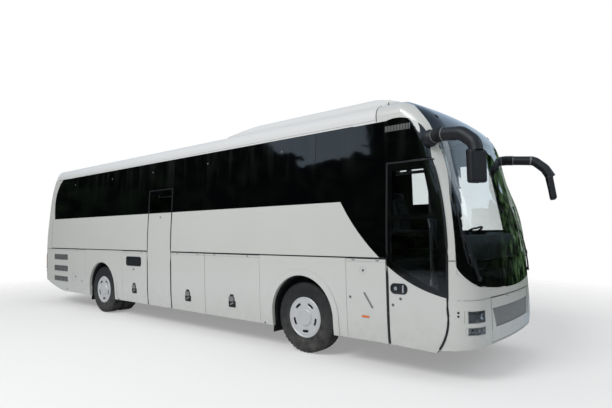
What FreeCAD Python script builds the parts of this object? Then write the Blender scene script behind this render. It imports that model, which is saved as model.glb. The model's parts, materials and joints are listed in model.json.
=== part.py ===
import FreeCAD, Part
import math
import os
import re

# Coach bus, two axles, high floor. +X is forward, +Y is left, +Z is up, in millimetres.
# The origin is on the ground, half way between the mirrors' front and the tail.

V = FreeCAD.Vector
LEFT, RIGHT = 1, -1
SIDES = {"left": LEFT, "right": RIGHT}

SIZES = (
    # alias, value, what it is
    ("body_length", 12054, "nose to tail, without the mirrors"),
    ("mirror_reach", 300, "how far the mirrors stand ahead of the nose"),
    ("body_width", 2550, "over the waist"),
    ("wheelbase", 6062, "front axle to rear axle"),
    ("front_overhang", 2662, "nose to front axle"),
    ("skirt_level", 350, "bottom edge of the side skirts"),
    ("nose_level", 345, "bottom edge of the front bumper's corners"),
    ("tail_level", 700, "bottom edge of the rear bumper"),
    ("waist_level", 1440, "groove between the flaps and the side walls"),
    ("sill_level", 2217, "bottom of the window band"),
    ("band_level", 3264, "top of the window band"),
    ("crown_level", 3597, "top of the roof without its pod"),
    ("pod_level", 3740, "top of the roof pod"),
    ("floor_level", 1380, "top of the saloon floor"),
    ("bay_level", 450, "top of the luggage bays' floor"),
    ("cab_level", 950, "top of the driver's platform"),
    ("wall", 45, "thickness of walls, doors and flaps"),
    ("pane", 8, "thickness of the bonded glass"),
    ("gap", 8, "gap around a moving panel"),
    ("roof_corner", 190, "radius of the roof's long edges"),
    ("roof_bow", 7000, "radius of the roof's crown"),
    ("tyre_radius", 525, "outer radius of every tyre"),
    ("tyre_width", 290, "section width of a tyre"),
    ("rim_radius", 286, "bead seat radius"),
    ("front_track", 2090, "between the centres of the front tyres"),
    ("twin_outer", 2150, "between the centres of the outer rear tyres"),
    ("twin_pitch", 332, "between the centres of a pair of twin tyres"),
    ("arch_radius", 590, "wheel arch opening"),
    ("arch_centre", 567, "height of the arches' centre"),
    ("arch_lip", 95, "breadth of the raised lip round an arch"),
    ("lip_height", 10, "how far the lip stands out"),
    ("bulkhead_reach", 660, "axle to the bulkheads before and behind it"),
    ("door_rear", 1459, "front axle to the front door's rear edge"),
    ("door_front", 2280, "front axle to the front door's front edge"),
    ("door_head", 2705, "top edge of both doors"),
    ("service_rear", 827, "front axle to the service flap's rear edge"),
    ("bay_front", 865, "front axle back to the luggage bay's front edge"),
    ("bay_split", 2267, "front axle back to the split of the two bay flaps"),
    ("bay_rear", 3306, "front axle back to the rear edge of the rear bay flap"),
    ("mid_door_rear", 4155, "front axle back to the middle door's rear edge"),
    ("heater_rear", 5150, "front axle back to the heater flap's rear edge"),
    ("tail_seam", 6869, "front axle back to the seam behind the rear arch"),
    ("door_arm", 450, "length of a door's swing arm"),
    ("king_pin", 960, "king pin from the centre line"),
    ("hub_radius", 60, "rear spindle"),
    ("stub_radius", 45, "front stub axle"),
    ("running_gap", 0.3, "clearance of pins and shafts"),
)

doc = FreeCAD.newDocument("coach_bus")
sheet = doc.addObject("Spreadsheet::Sheet", "Sizes")
for row, (alias, value, note) in enumerate(SIZES, start=1):
    sheet.set("A%d" % row, note)
    sheet.set("B%d" % row, str(value))
    sheet.setAlias("B%d" % row, alias)
doc.recompute()
size = {alias: float(sheet.get(alias)) for alias, value, note in SIZES}

# Stations along the coach and across it, worked out from the sheet.
nose = (size["body_length"] - size["mirror_reach"]) / 2
tail = nose - size["body_length"]
front_axle = nose - size["front_overhang"]
rear_axle = front_axle - size["wheelbase"]
half_width = size["body_width"] / 2
door_rear = front_axle + size["door_rear"]
door_front = front_axle + size["door_front"]
service_rear = front_axle + size["service_rear"]
bay_front = front_axle - size["bay_front"]
bay_split = front_axle - size["bay_split"]
bay_rear = front_axle - size["bay_rear"]
mid_door_rear = front_axle - size["mid_door_rear"]
heater_rear = front_axle - size["heater_rear"]
tail_seam = front_axle - size["tail_seam"]
skirt = size["skirt_level"]
waist = size["waist_level"]
sill = size["sill_level"]
band = size["band_level"]
floor_top = size["floor_level"]
wall = size["wall"]
gap = size["gap"]
FAR = half_width + 400

nodes = {}


def keep(name, shape):
    """Adds one sub-part as a feature of the document, under its own label."""
    made = doc.addObject("Part::Feature", name)
    made.Label = name
    made.Shape = shape
    made.Placement = FreeCAD.Placement()
    nodes[name] = made
    return made


def keep_object(name, made):
    """Registers an object built from primitives as a sub-part."""
    made.Label = name
    nodes[name] = made
    return made


# ---------------------------------------------------------------- shapes

def box(x0, x1, y0, y1, z0, z1):
    low = V(min(x0, x1), min(y0, y1), min(z0, z1))
    return Part.makeBox(abs(x1 - x0), abs(y1 - y0), abs(z1 - z0), low)


def rod(start, end, radius):
    start, end = V(*start), V(*end)
    return Part.makeCylinder(radius, start.distanceToPoint(end), start, end - start)


def outline(steps, place):
    """A closed wire: place maps a pair to a point, and a step marked via is an arc's middle."""
    edges = []
    first = last = place(steps[0][0], steps[0][1])
    middle = None
    for step in list(steps[1:]) + [steps[0][:2]]:
        point = place(step[0], step[1])
        if len(step) > 2:
            middle = point
            continue
        if point.distanceToPoint(last) > 1e-6:
            if middle is None:
                edges.append(Part.LineSegment(last, point).toShape())
            else:
                edges.append(Part.Arc(last, middle, point).toShape())
        middle = None
        last = point
    if last.distanceToPoint(first) > 1e-6:
        edges.append(Part.LineSegment(last, first).toShape())
    return Part.Wire(edges)


def side_prism(steps, y0, y1):
    """An outline in x and z, carried across from y0 to y1."""
    wire = outline(steps, lambda a, b: V(a, y0, b))
    return Part.Face(wire).extrude(V(0, y1 - y0, 0))


def front_prism(steps, x0, x1):
    """An outline in y and z, carried along from x0 to x1."""
    wire = outline(steps, lambda a, b: V(x0, a, b))
    return Part.Face(wire).extrude(V(x1 - x0, 0, 0))


def flank(side, steps, depth=330):
    """A region of one side of the coach, from outside it to depth inside it."""
    return side_prism(steps, side * FAR, side * (half_width - depth))


def joined(shapes):
    shapes = list(shapes)
    first = shapes[0]
    return first.multiFuse(shapes[1:]).removeSplitter() if len(shapes) > 1 else first


# ---------------------------------------------------------------- body skin

# Plan sections of the body, from below the skirts to above the roof.
SECTIONS = (
    # height, inset of the side, nose set back, tail set back, nose corner, tail corner radius
    (skirt - 110, 66, 62, 60, 300, 200),
    (skirt + 70, 34, 14, 20, 320, 200),
    (skirt + 450, 12, 0, 0, 330, 200),
    (waist, 0, 32, 10, 330, 200),
    (sill, 24, 158, 55, 330, 210),
    (sill + 543, 49, 322, 112, 330, 230),
    (band - 119, 70, 438, 232, 330, 250),
    (band + 136, 84, 672, 400, 340, 270),
    (band + 376, 98, 1165, 700, 350, 290),
)
NOSE_BOW, TAIL_BOW = 7000, 6000


def corner_arc(end_x, bow, radius, half, ahead):
    """Where a rounded corner leaves the side, its middle, and where it meets the end's wide arc."""
    across = half - radius
    centre_x = end_x - ahead * bow
    corner_x = centre_x + ahead * math.sqrt((bow - radius) ** 2 - across ** 2)
    turn = math.atan2(across, abs(corner_x - centre_x))
    meet = (centre_x + ahead * bow * math.cos(turn), bow * math.sin(turn))
    middle_turn = (turn + math.pi / 2) / 2
    middle = (corner_x + ahead * radius * math.cos(middle_turn), across + radius * math.sin(middle_turn))
    return (corner_x, half), middle, meet


def plan_wire(level, half, nose_x, tail_x, nose_corner, tail_corner):
    """The body's outline in plan: straight sides, rounded corners and gently bowed ends."""
    f_side, f_mid, f_meet = corner_arc(nose_x, NOSE_BOW, nose_corner, half, 1)
    r_side, r_mid, r_meet = corner_arc(tail_x, TAIL_BOW, tail_corner, half, -1)

    def at(point, side):
        return V(point[0], side * point[1], level)

    edges = [
        Part.LineSegment(at(r_side, RIGHT), at(f_side, RIGHT)),
        Part.Arc(at(f_side, RIGHT), at(f_mid, RIGHT), at(f_meet, RIGHT)),
        Part.Arc(at(f_meet, RIGHT), V(nose_x, 0, level), at(f_meet, LEFT)),
        Part.Arc(at(f_meet, LEFT), at(f_mid, LEFT), at(f_side, LEFT)),
        Part.LineSegment(at(f_side, LEFT), at(r_side, LEFT)),
        Part.Arc(at(r_side, LEFT), at(r_mid, LEFT), at(r_meet, LEFT)),
        Part.Arc(at(r_meet, LEFT), V(tail_x, 0, level), at(r_meet, RIGHT)),
        Part.Arc(at(r_meet, RIGHT), at(r_mid, RIGHT), at(r_side, RIGHT)),
    ]
    return Part.Wire([edge.toShape() for edge in edges])


def roof_profile(inset):
    """The body's cross-section above the windows: rounded long edges and a shallow crown."""
    edge_level = band + 86
    edge_y = half_width - 81
    lean = math.radians(5)
    corner = size["roof_corner"]
    bow = size["roof_bow"]
    corner_y = edge_y - corner * math.cos(lean)
    corner_z = edge_level - corner * math.sin(lean)
    crown_z = corner_z - math.sqrt((bow - corner) ** 2 - corner_y ** 2)
    turn = math.atan2(corner_z - crown_z, corner_y)
    small, large = corner - inset, bow - inset
    start = (corner_y + small * math.cos(lean), corner_z + small * math.sin(lean))
    half_turn = (lean + turn) / 2
    middle = (corner_y + small * math.cos(half_turn), corner_z + small * math.sin(half_turn))
    meet = (corner_y + small * math.cos(turn), corner_z + small * math.sin(turn))
    rest = [
        (start[0], start[1]),
        (middle[0], middle[1], "via"),
        meet,
        (0, crown_z + large, "via"),
        (-meet[0], meet[1]),
        (-middle[0], middle[1], "via"),
        (-start[0], start[1]),
        (-FAR, start[1]),
        (-FAR, 0),
        (FAR, 0),
        (FAR, start[1]),
    ]
    return rest


def body(inset):
    """The closed body, drawn in by inset all round."""
    wires = []
    for level, side_in, nose_in, tail_in, nose_corner, tail_corner in SECTIONS:
        wires.append(plan_wire(level, half_width - side_in - inset, nose - nose_in - inset,
                               tail + tail_in + inset, nose_corner - inset, tail_corner - inset))
    loft = Part.makeLoft(wires, True, False)
    return loft.common(front_prism(roof_profile(inset), tail - 100, nose + 100))


skin = body(0)
under_glass = body(size["pane"])
lining = body(wall)
MIDDLE = 0
SPLIT_LINE = half_width - 330
zones = {
    LEFT: box(tail - 100, nose + 100, SPLIT_LINE, FAR, 0, band + 500),
    RIGHT: box(tail - 100, nose + 100, -FAR, -SPLIT_LINE, 0, band + 500),
}
wall_shell = skin.cut(lining)
glass_shell = skin.cut(under_glass)
wall_of = {side: zone.common(wall_shell) for side, zone in zones.items()}
glass_of = {side: zone.common(glass_shell) for side, zone in zones.items()}


def panel(side, region):
    """The part of the body's wall that lies in a region; side 0 means the whole body."""
    return region.common(wall_of.get(side, wall_shell))


def pane(side, region):
    """The part of the body's outer glass layer that lies in a region."""
    return region.common(glass_of.get(side, glass_shell))


# ---------------------------------------------------------------- outlines on the sides

def dark_edge(grow=0.0):
    """Lower edge of the black band at the front, from the sill down to the door's front edge."""
    return [
        (service_rear - 90, sill - grow),
        (front_axle + 1050, sill - 440 - grow, "via"),
        (front_axle + 1370, waist + 10 - grow),
        (front_axle + 1790, waist - 285 - grow, "via"),
        (door_front + 8, waist - 452 - grow),
    ]


def door_seam(shift=0.0):
    """The front door's front edge, from the lower corner up along the pillar to the door's head."""
    return [
        (door_front - 165 + shift, skirt - 20),
        (door_front - 40 + shift, skirt + 180, "via"),
        (door_front + shift, skirt + 520),
        (door_front + 12 + shift, waist - 60),
        (door_front - 20 + shift, sill - 210, "via"),
        (door_front - 185 + shift, size["door_head"]),
    ]


def pillar_outer():
    """Lower and rear edge of the white pillar and rail that arch over the front door."""
    return [
        (door_front - 205, size["door_head"] + 110),
        (door_front - 235, sill + 776, "via"),
        (door_front - 320, band - 130),
        (door_front - 470, band - 25, "via"),
        (door_rear, band),
    ]


BAND_TAIL = tail + 670
WALL_TAIL = tail + 560
ROOF_FRONT = front_axle + 1300
RAIL_EDGE = half_width - 235


def pillar_inner():
    """Upper and front edge of the same pillar, from the roof down to the windscreen's corner."""
    return [
        (ROOF_FRONT, size["crown_level"] + 60),
        (front_axle + 1520, size["crown_level"] + 60),
        (front_axle + 1885, band + 96, "via"),
        (front_axle + 2046, band - 119),
        (front_axle + 2190, sill + 560, "via"),
        (door_front + 20, sill + 15),
        (door_front + 77, waist + 390, "via"),
        (door_front + 98, waist),
    ]


def pillar_region(side):
    """The white pillar beside the windscreen and the rail that runs on over the door."""
    rising = [step for step in door_seam() if step[1] > waist - 70]
    rising[0] = (door_front + 12, waist)
    steps = rising + pillar_outer() + [(ROOF_FRONT, band)] + pillar_inner()
    return side_prism(steps, side * FAR, side * RAIL_EDGE)


# ---------------------------------------------------------------- doors and flaps

HINGE_DEPTH = 7
HINGE_PIN = 4


def arch_cut(side, axle, radius=None, depth=700):
    radius = size["arch_radius"] if radius is None else radius
    centre = size["arch_centre"]
    steps = [(axle - radius, skirt - 300), (axle - radius, centre), (axle, centre + radius, "via"),
             (axle + radius, centre), (axle + radius, skirt - 300)]
    return flank(side, steps, depth)


def strip(x0, x1, z0, z1):
    return [(x0, z0), (x1, z0), (x1, z1), (x0, z1)]


def surface_y(side, x, z):
    """Where the body's outer face lies at a station and height, on one side."""
    line = Part.makeLine(V(x, side * FAR, z), V(x, 0, z))
    hit = line.common(wall_of[side])
    return side * max(abs(v.Point.y) for v in hit.Vertexes)


def flap(name, side, x0, x1, z0, extra_cut=None):
    """A flap hinged along its upper outer edge, with two notches for the hinge lugs."""
    top = waist - gap
    shape = panel(side, flank(side, strip(x0 + gap / 2, x1 - gap / 2, z0, top)))
    for cutter in extra_cut or ():
        shape = shape.cut(cutter)
    axis_z = top - HINGE_DEPTH
    axis_y = surface_y(side, (x0 + x1) / 2, axis_z) - side * HINGE_DEPTH
    lugs = []
    for share in (0.2, 0.8):
        station = x0 + share * (x1 - x0)
        notch = box(station - 22, station + 22, side * FAR, side * (half_width - 120), axis_z - 20, waist)
        shape = shape.cut(notch)
        shape = shape.fuse(rod((station - 24, axis_y, axis_z), (station + 24, axis_y, axis_z), HINGE_PIN))
        lug = box(station - 12, station + 12, axis_y - side * 7, axis_y - side * 34, axis_z - 7, waist)
        lug = lug.fuse(box(station - 12, station + 12, axis_y + side * 7, axis_y - side * 20,
                           axis_z - 7, axis_z + 7))
        lug = lug.fuse(box(station - 12, station + 12, axis_y - side * 7, axis_y - side * 34,
                           waist - 20, waist))
        bore = rod((station - 20, axis_y, axis_z), (station + 20, axis_y, axis_z),
                   HINGE_PIN + size["running_gap"])
        lugs.append(lug.cut(bore))
    keep(name, shape)
    hinges[name] = (axis_y, axis_z)
    return lugs


hinges = {}
lugs = {LEFT: [], RIGHT: []}
FLAPS = (
    # name, sides it is on, rear edge, front edge
    ("service_flap", (LEFT, RIGHT), service_rear, door_rear),
    ("luggage_flap_front", (LEFT, RIGHT), bay_split, bay_front),
    ("luggage_flap_rear", (LEFT, RIGHT), bay_rear, bay_split),
    ("luggage_flap_mid", (LEFT,), mid_door_rear, bay_rear),
    ("heater_flap", (LEFT, RIGHT), heater_rear, mid_door_rear),
    ("radiator_flap", (LEFT, RIGHT), tail + 300, tail_seam),
)
TAIL_RISE = [(tail_seam + 20, skirt - 10), (tail + 720, skirt + 110, "via"), (tail, size["tail_level"])]


def under_tail():
    """What lies below the rising lower edge of the tail."""
    rest = [(tail - 300, size["tail_level"]), (tail - 300, 0), (tail_seam + 20, 0)]
    return side_prism(TAIL_RISE + rest, -FAR, FAR)


below_tail = under_tail()
for name, sides, rear, front in FLAPS:
    for side in sides:
        label = name + ("_left" if side == LEFT else "_right")
        cutters = [below_tail] if name == "radiator_flap" else []
        lugs[side] += flap(label, side, rear, front, skirt, cutters)


def door_leaf(side, steps, glazing, windows, leaf_x):
    """A door as thick as the wall, with the black glass let into it and its windows cut."""
    whole = panel(side, flank(side, steps))
    glass = pane(side, flank(side, steps).common(flank(side, glazing)))
    leaf = whole.cut(glass)
    for window in windows:
        leaf = leaf.cut(flank(side, window))
    y = side * PIVOT_LINE
    for level, up in zip(ARM_LEVELS, (-1, 1)):
        face = level + (ARM_DEEP if up > 0 else 0)
        near, far = sorted((face + up * 14, face + up * 54))
        bracket = box(leaf_x - 40, leaf_x + 40, y - side * 14, side * FAR, near, far)
        bracket = bracket.common(lining).common(side_prism(steps, -FAR, FAR))
        bracket = bracket.fuse(rod((leaf_x, y, face + up * 40), (leaf_x, y, face - up * (ARM_DEEP + 6)), 12))
        leaf = leaf.fuse(bracket)
    return leaf, glass


HEAD = size["door_head"]
front_steps = [(door_rear + gap, HEAD - gap), (door_rear + gap, skirt)] + \
              [(x - gap, z) if len(s) == 0 else (x - gap, z, s[0]) for x, z, *s in door_seam()]
front_steps[-1] = (front_steps[-1][0], HEAD - gap)
front_glazing = [(door_rear - 50, HEAD + 50), (door_rear - 50, waist + 10)] + \
                [(front_axle + 1370, waist + 10), (front_axle + 1790, waist - 285, "via"),
                 (door_front + 60, waist - 452), (door_front + 60, HEAD + 50)]
cross_bar = waist + 540
front_windows = (
    [(door_rear + 90, cross_bar + 30), (door_front - 170, cross_bar + 30),
     (door_front - 290, HEAD - 125), (door_rear + 90, HEAD - 125)],
    [(door_rear + 90, cross_bar - 30), (door_rear + 90, waist - 30), (front_axle + 1830, waist - 200, "via"),
     (door_front - 120, waist - 360), (door_front - 110, cross_bar - 30)],
)
PIVOT_LINE = half_width - 145
ARM_DEEP = 36
ARM_LEVELS = (skirt + 210, HEAD - 170)


def swing_arm(name, column_x, column_low, column_high, leaf_x):
    """A door's turning column with two arms to the leaf."""
    y = -PIVOT_LINE
    parts = [rod((column_x, y, column_low), (column_x, y, column_high), 24)]
    for z in ARM_LEVELS:
        parts.append(box(leaf_x - 25, column_x, y - 16, y + 16, z, z + ARM_DEEP))
        parts.append(rod((leaf_x, y, z), (leaf_x, y, z + ARM_DEEP), 27))
    shape = joined(parts)
    for z in ARM_LEVELS:
        shape = shape.cut(rod((leaf_x, y, z - 5), (leaf_x, y, z + ARM_DEEP + 5), 12 + size["running_gap"]))
    return keep(name, shape)


DOOR_COLUMN = front_axle + 2030
MID_COLUMN = bay_rear - 180
COLUMN_TOP = HEAD + 10
FIRST_TREAD = skirt + 60
for name, column_x, foot in (("front", DOOR_COLUMN, FIRST_TREAD), ("mid", MID_COLUMN, size["bay_level"])):
    leaf_x = column_x - size["door_arm"]
    swing_arm(name + "_door_arm", column_x, foot + size["running_gap"], COLUMN_TOP, leaf_x)

leaf, glass = door_leaf(RIGHT, front_steps, front_glazing, front_windows, DOOR_COLUMN - size["door_arm"])
keep("front_door", leaf)
keep("front_door_glass", glass)

mid_steps = strip(mid_door_rear + gap / 2, bay_rear - gap / 2, skirt, HEAD - gap)
mid_glazing = strip(mid_door_rear - 50, bay_rear + 50, sill, HEAD + 50)
mid_windows = (strip(mid_door_rear + 80, bay_rear - 80, sill + 60, HEAD - 125),)
leaf, glass = door_leaf(RIGHT, mid_steps, mid_glazing, mid_windows, MID_COLUMN - size["door_arm"])
keep("mid_door", leaf)
keep("mid_door_glass", glass)


# ---------------------------------------------------------------- fixed side panels

PANE_PITCH = 1755
PANE_SEAMS = [front_axle + 270 - count * PANE_PITCH for count in range(5)]
POST = 50
APERTURE_LOW, APERTURE_HIGH = sill + 70, band - 90
CAB_SILL, CAB_HEAD = waist + 370, HEAD + 185
FLOOR_EDGE = 90
RAIL_INNER = half_width - FLOOR_EDGE - 40


def band_region(side):
    """The black glazed band: rounded behind, dropping in an arc towards the front."""
    behind = [(tail + 1019, band), (tail + 706, sill + 742, "via"), (tail + 620, sill + 400),
              (tail + 632, sill + 200, "via"), (BAND_TAIL, sill)]
    if side == RIGHT:
        drop = dark_edge()[:2] + [(front_axle + 1370, waist + 10), (door_rear, waist + 5), (door_rear, HEAD),
                                  (door_front - 185, HEAD)]
    else:
        drop = dark_edge()[:2] + [(front_axle + 1370, waist + 10), (door_front + 60, waist + 10),
                                  (door_front + 60, HEAD)]
    return behind + drop + pillar_outer()


def apertures(side):
    """Window openings between the posts of one side wall."""
    edges = [BAND_TAIL + 130] + [seam for seam in reversed(PANE_SEAMS)] + [door_rear - 20]
    openings = []
    for rear, front in zip(edges, edges[1:]):
        rear, front = rear + POST, front - POST
        if side == RIGHT and rear < mid_door_rear < front:
            openings.append(strip(rear, mid_door_rear - POST, APERTURE_LOW, APERTURE_HIGH))
            openings.append(strip(mid_door_rear + POST, bay_rear - POST, HEAD + POST, APERTURE_HIGH))
        else:
            openings.append(strip(rear, front, APERTURE_LOW, APERTURE_HIGH))
    if side == LEFT:
        openings.append([(door_rear + POST, CAB_SILL), (door_front - 110, CAB_SILL),
                         (door_front - 250, HEAD - 70), (door_front - 330, CAB_HEAD),
                         (door_rear + POST, CAB_HEAD)])
    return openings


def waist_rail(side):
    """The rail inside a side wall, which rests on the floor's raised edges."""
    rail = box(WALL_TAIL, door_rear, side * RAIL_INNER, side * FAR, waist, waist + 50).common(lining)
    if side == RIGHT:
        rail = rail.cut(box(mid_door_rear, bay_rear, -FAR, 0, waist, waist + 50))
    return rail


def column_bracket(column_x):
    """What holds the top of a door's turning column, under the wall over the door."""
    low = COLUMN_TOP + size["running_gap"]
    return box(column_x - 60, column_x + 24, -FAR, -PIVOT_LINE + 24, low, HEAD + POST).common(lining)


def side_wall(side):
    """The wall over the waist with its posts; gives the panes bonded over it."""
    if side == RIGHT:
        front = [(door_rear, waist), (door_rear, HEAD), (door_front - 185, HEAD)]
    else:
        front = [(door_front + 12, waist), (door_front - 20, sill - 210, "via"), (door_front - 185, HEAD)]
    steps = [(WALL_TAIL, band), (WALL_TAIL, waist)] + front + pillar_outer()
    wall_solid = panel(side, flank(side, steps))
    glazing = flank(side, band_region(side)).common(flank(side, steps))
    if side == RIGHT:
        doorway = flank(side, strip(mid_door_rear, bay_rear, skirt, HEAD))
        wall_solid = wall_solid.cut(doorway)
        glazing = glazing.cut(doorway)
    layer = pane(side, glazing)
    wall_solid = wall_solid.cut(layer)
    for steps in apertures(side):
        wall_solid = wall_solid.cut(flank(side, steps))
    inner = lugs[side] + [waist_rail(side)]
    if side == RIGHT:
        inner += [column_bracket(column_x) for column_x in (DOOR_COLUMN, MID_COLUMN)]
    for piece in inner:
        wall_solid = wall_solid.fuse(piece)
    keep("side_wall_right" if side == RIGHT else "side_wall_left", wall_solid)
    for seam in PANE_SEAMS + [door_rear]:
        layer = layer.cut(flank(side, strip(seam - 3, seam + 3, waist - 50, band + 50)))
    if side == RIGHT:
        layer = layer.cut(flank(side, strip(door_rear - 50, door_front, HEAD - 3, HEAD + 3)))
    return layer.Solids


def skirt_panels(side):
    """The fixed panels over the two axles, with their arches, and beside the driver."""
    solids = []
    for axle, rear, front in ((front_axle, bay_front, service_rear), (rear_axle, tail_seam, heater_rear)):
        shape = panel(side, flank(side, strip(rear, front, skirt, waist)))
        ring = arch_cut(side, axle, size["arch_radius"] + size["arch_lip"])
        ring = ring.common(flank(side, strip(rear + 20, front - 20, skirt, waist - 40)))
        shape = shape.fuse(ring.common(proud_of[side]))
        solids.append(shape.cut(arch_cut(side, axle)))
    if side == LEFT:
        steps = [(door_rear, waist), (door_rear, skirt)] + \
                [step for step in door_seam() if step[1] < waist] + [(door_front + 12, waist)]
        solids.append(panel(side, flank(side, steps)))
    return [solid for shape in solids for solid in shape.Solids]


proud = body(-size["lip_height"])
proud_of = {side: zone.common(proud).cut(lining) for side, zone in zones.items()}
keep("side_glass", Part.Compound(side_wall(LEFT) + side_wall(RIGHT)))
keep("skirts", Part.Compound(skirt_panels(LEFT) + skirt_panels(RIGHT)))

# ---------------------------------------------------------------- roof, nose and tail

roof_zone = box(tail - 100, ROOF_FRONT, -FAR, FAR, band, 4000)
keep("roof", panel(MIDDLE, roof_zone))

POD = [(front_axle - 2150, size["crown_level"] - 60), (front_axle - 2150, size["crown_level"] + 5),
       (front_axle - 1290, size["pod_level"]), (front_axle + 300, size["pod_level"]),
       (front_axle + 1100, size["pod_level"] - 30, "via"), (ROOF_FRONT + 330, size["crown_level"] - 60)]
POD_HALF = 830


def roof_pod():
    """The raised air-conditioning cover on the roof, rounded along its sides."""
    side_view = side_prism(POD, -POD_HALF, POD_HALF)
    top = size["pod_level"]
    across = [(-POD_HALF, top - 300), (-POD_HALF, top - 130), (-POD_HALF + 40, top - 45, "via"),
              (-POD_HALF + 170, top - 12), (0, top, "via"), (POD_HALF - 170, top - 12),
              (POD_HALF - 40, top - 45, "via"), (POD_HALF, top - 130), (POD_HALF, top - 300)]
    cover = side_view.common(front_prism(across, tail, nose))
    return cover.cut(skin)


keep("roof_pod", roof_pod())

pillars = {side: pillar_region(side) for side in (LEFT, RIGHT)}
keep("front_pillars", Part.Compound([panel(MIDDLE, region) for region in pillars.values()]))

SCREEN_TOP = band - 194
PANEL_SEAM = waist - 450
LID_HALF = 770
ahead_steps = [(x, z, *via) for x, z, *via in door_seam()]
ahead_steps[-1] = (door_front - 185, HEAD)
ahead = side_prism(ahead_steps + [(door_front - 330, band), (door_front - 330, 4000), (nose + 200, 4000),
                                  (nose + 200, 0), (door_front - 165, 0)], -FAR, FAR)


def screen_steps(inset=0.0):
    """The windscreen in front view: a deep rounded lower edge and a straight head."""
    edge, top = half_width - inset, SCREEN_TOP - inset
    low = waist - 372 + inset
    return [(-edge - 20, top), (-edge - 20, waist + 80 + inset), (-edge + 70, waist - 195 + inset, "via"),
            (-edge + 350, low + 55), (0, low, "via"), (edge - 350, low + 55),
            (edge - 70, waist - 195 + inset, "via"), (edge + 20, waist + 80 + inset), (edge + 20, top)]


before_pillar = side_prism(pillar_inner()[1:] + [(door_front + 98, waist - 600), (nose + 200, waist - 600),
                                                 (nose + 200, size["crown_level"] + 60)], -FAR, FAR)
middle_strip = box(ROOF_FRONT, nose + 100, -RAIL_EDGE, RAIL_EDGE, 0, 4000)


def fixed_nose():
    """Cap, windscreen with the frame behind it, and the panel under it."""
    above = box(ROOF_FRONT, nose + 100, -FAR, FAR, SCREEN_TOP, 4000)
    keep("front_cap", panel(MIDDLE, above.common(before_pillar.fuse(middle_strip))))
    below_cap = box(ROOF_FRONT, nose + 100, -FAR, FAR, 0, SCREEN_TOP)
    screen = front_prism(screen_steps(), door_front - 400, nose + 100)
    opening = screen.common(before_pillar).common(below_cap)
    glass = pane(MIDDLE, opening)
    keep("windscreen", glass)
    hole = front_prism(screen_steps(110), door_front - 400, nose + 100)
    keep("windscreen_frame", panel(MIDDLE, opening).cut(glass).cut(hole))
    under = box(door_front - 300, nose + 100, -FAR, FAR, PANEL_SEAM, waist).common(ahead)
    keep("front_panel", panel(MIDDLE, under.cut(opening)))


fixed_nose()

# Grille and lamp outlines in front view: half of each, the other half is mirrored.
END_DEPTH, END_GAP = 12, 16
LID_LOW, LID_HIGH = PANEL_SEAM - 550, PANEL_SEAM - END_GAP
GRILLE = [(-740, PANEL_SEAM - 140), (-655, PANEL_SEAM - 370),
          (655, PANEL_SEAM - 370), (740, PANEL_SEAM - 140)]
LAMPS = ((-1205, -940, PANEL_SEAM - 275, PANEL_SEAM - 135),
         (-1195, -940, PANEL_SEAM - 415, PANEL_SEAM - 325))


def bumper_and_lid():
    """The corners with their lamps, and the middle lid with the grille, hinged under the panel."""
    lower_edge = side_prism([(door_front - 300, size["nose_level"]), (nose + 100, size["nose_level"] + 95),
                             (nose + 100, 0), (door_front - 300, 0)], -FAR, FAR)
    region = box(door_front - 300, nose + 100, -FAR, FAR, 0, PANEL_SEAM).common(ahead).cut(lower_edge)
    whole = panel(MIDDLE, region)
    lid_zone = box(nose - 400, nose + 100, -LID_HALF, LID_HALF, LID_LOW, PANEL_SEAM)
    bumper = whole.cut(lid_zone)
    lamp_solids = []
    for y0, y1, z0, z1 in LAMPS:
        for side in (LEFT, RIGHT):
            pocket = box(nose - 500, nose + 100, side * y0, side * y1, z0, z1)
            lamp_solids.append(whole.common(pocket))
            bumper = bumper.cut(pocket)
    keep("front_bumper", bumper)
    keep("headlamps", Part.Compound([solid for lamp in lamp_solids for solid in lamp.Solids]))
    lid = whole.common(box(nose - 400, nose + 100, -LID_HALF + gap / 2, LID_HALF - gap / 2,
                           LID_LOW + gap, LID_HIGH))
    mouth = front_prism(GRILLE, nose - 400, nose + 100)
    mesh = mouth.common(body(14)).cut(lining).common(lid)
    lid = lid.cut(mouth)
    return lid, mesh


def end_surface(level, ahead):
    """Where the nose or the tail meets the centre plane at a height."""
    hit = Part.makeLine(V(tail - 200, 0, level), V(nose + 200, 0, level)).common(skin)
    stations = [corner.Point.x for corner in hit.Vertexes]
    return max(stations) if ahead > 0 else min(stations)


def hinged(shape, axis_x, axis_z, across, reach):
    """Fits a panel that turns about a line across the coach with two pins, and makes their lugs."""
    made = []
    for y in across:
        shape = shape.cut(box(axis_x - 120, axis_x + 120, y - 22, y + 22, axis_z - 20, axis_z + 60))
        shape = shape.fuse(rod((axis_x, y - 24, axis_z), (axis_x, y + 24, axis_z), HINGE_PIN))
        near = axis_x - 7 if reach > 0 else axis_x + 7
        lug = box(near, axis_x - reach, y - 12, y + 12, axis_z - 7, axis_z + 40)
        lug = lug.fuse(box(axis_x - 7, axis_x + 7, y - 12, y + 12, axis_z - 7, axis_z + 7))
        bore = rod((axis_x, y - 20, axis_z), (axis_x, y + 20, axis_z), HINGE_PIN + size["running_gap"])
        lug = lug.cut(bore)
        made.append(lug)
    return shape, made


lid, mesh = bumper_and_lid()
LID_AXIS = (end_surface(LID_HIGH, 1) - END_DEPTH, LID_HIGH - 5)
lid, lid_lugs = hinged(lid, LID_AXIS[0], LID_AXIS[1], (-250, 250), 34)
keep("front_lid", lid)
keep("grille", mesh)
shape = nodes["front_panel"].Shape
for lug in lid_lugs:
    shape = shape.fuse(lug.common(skin))
nodes["front_panel"].Shape = shape

ENGINE_LID_HALF, ENGINE_LID_LOW, ENGINE_LID_HIGH = 900, size["tail_level"] + 160, sill - 330
REAR_WINDOW = (1090, sill + 10, band - 100)
TAIL_LAMP = (1085, waist - 590, waist - 140)


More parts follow.
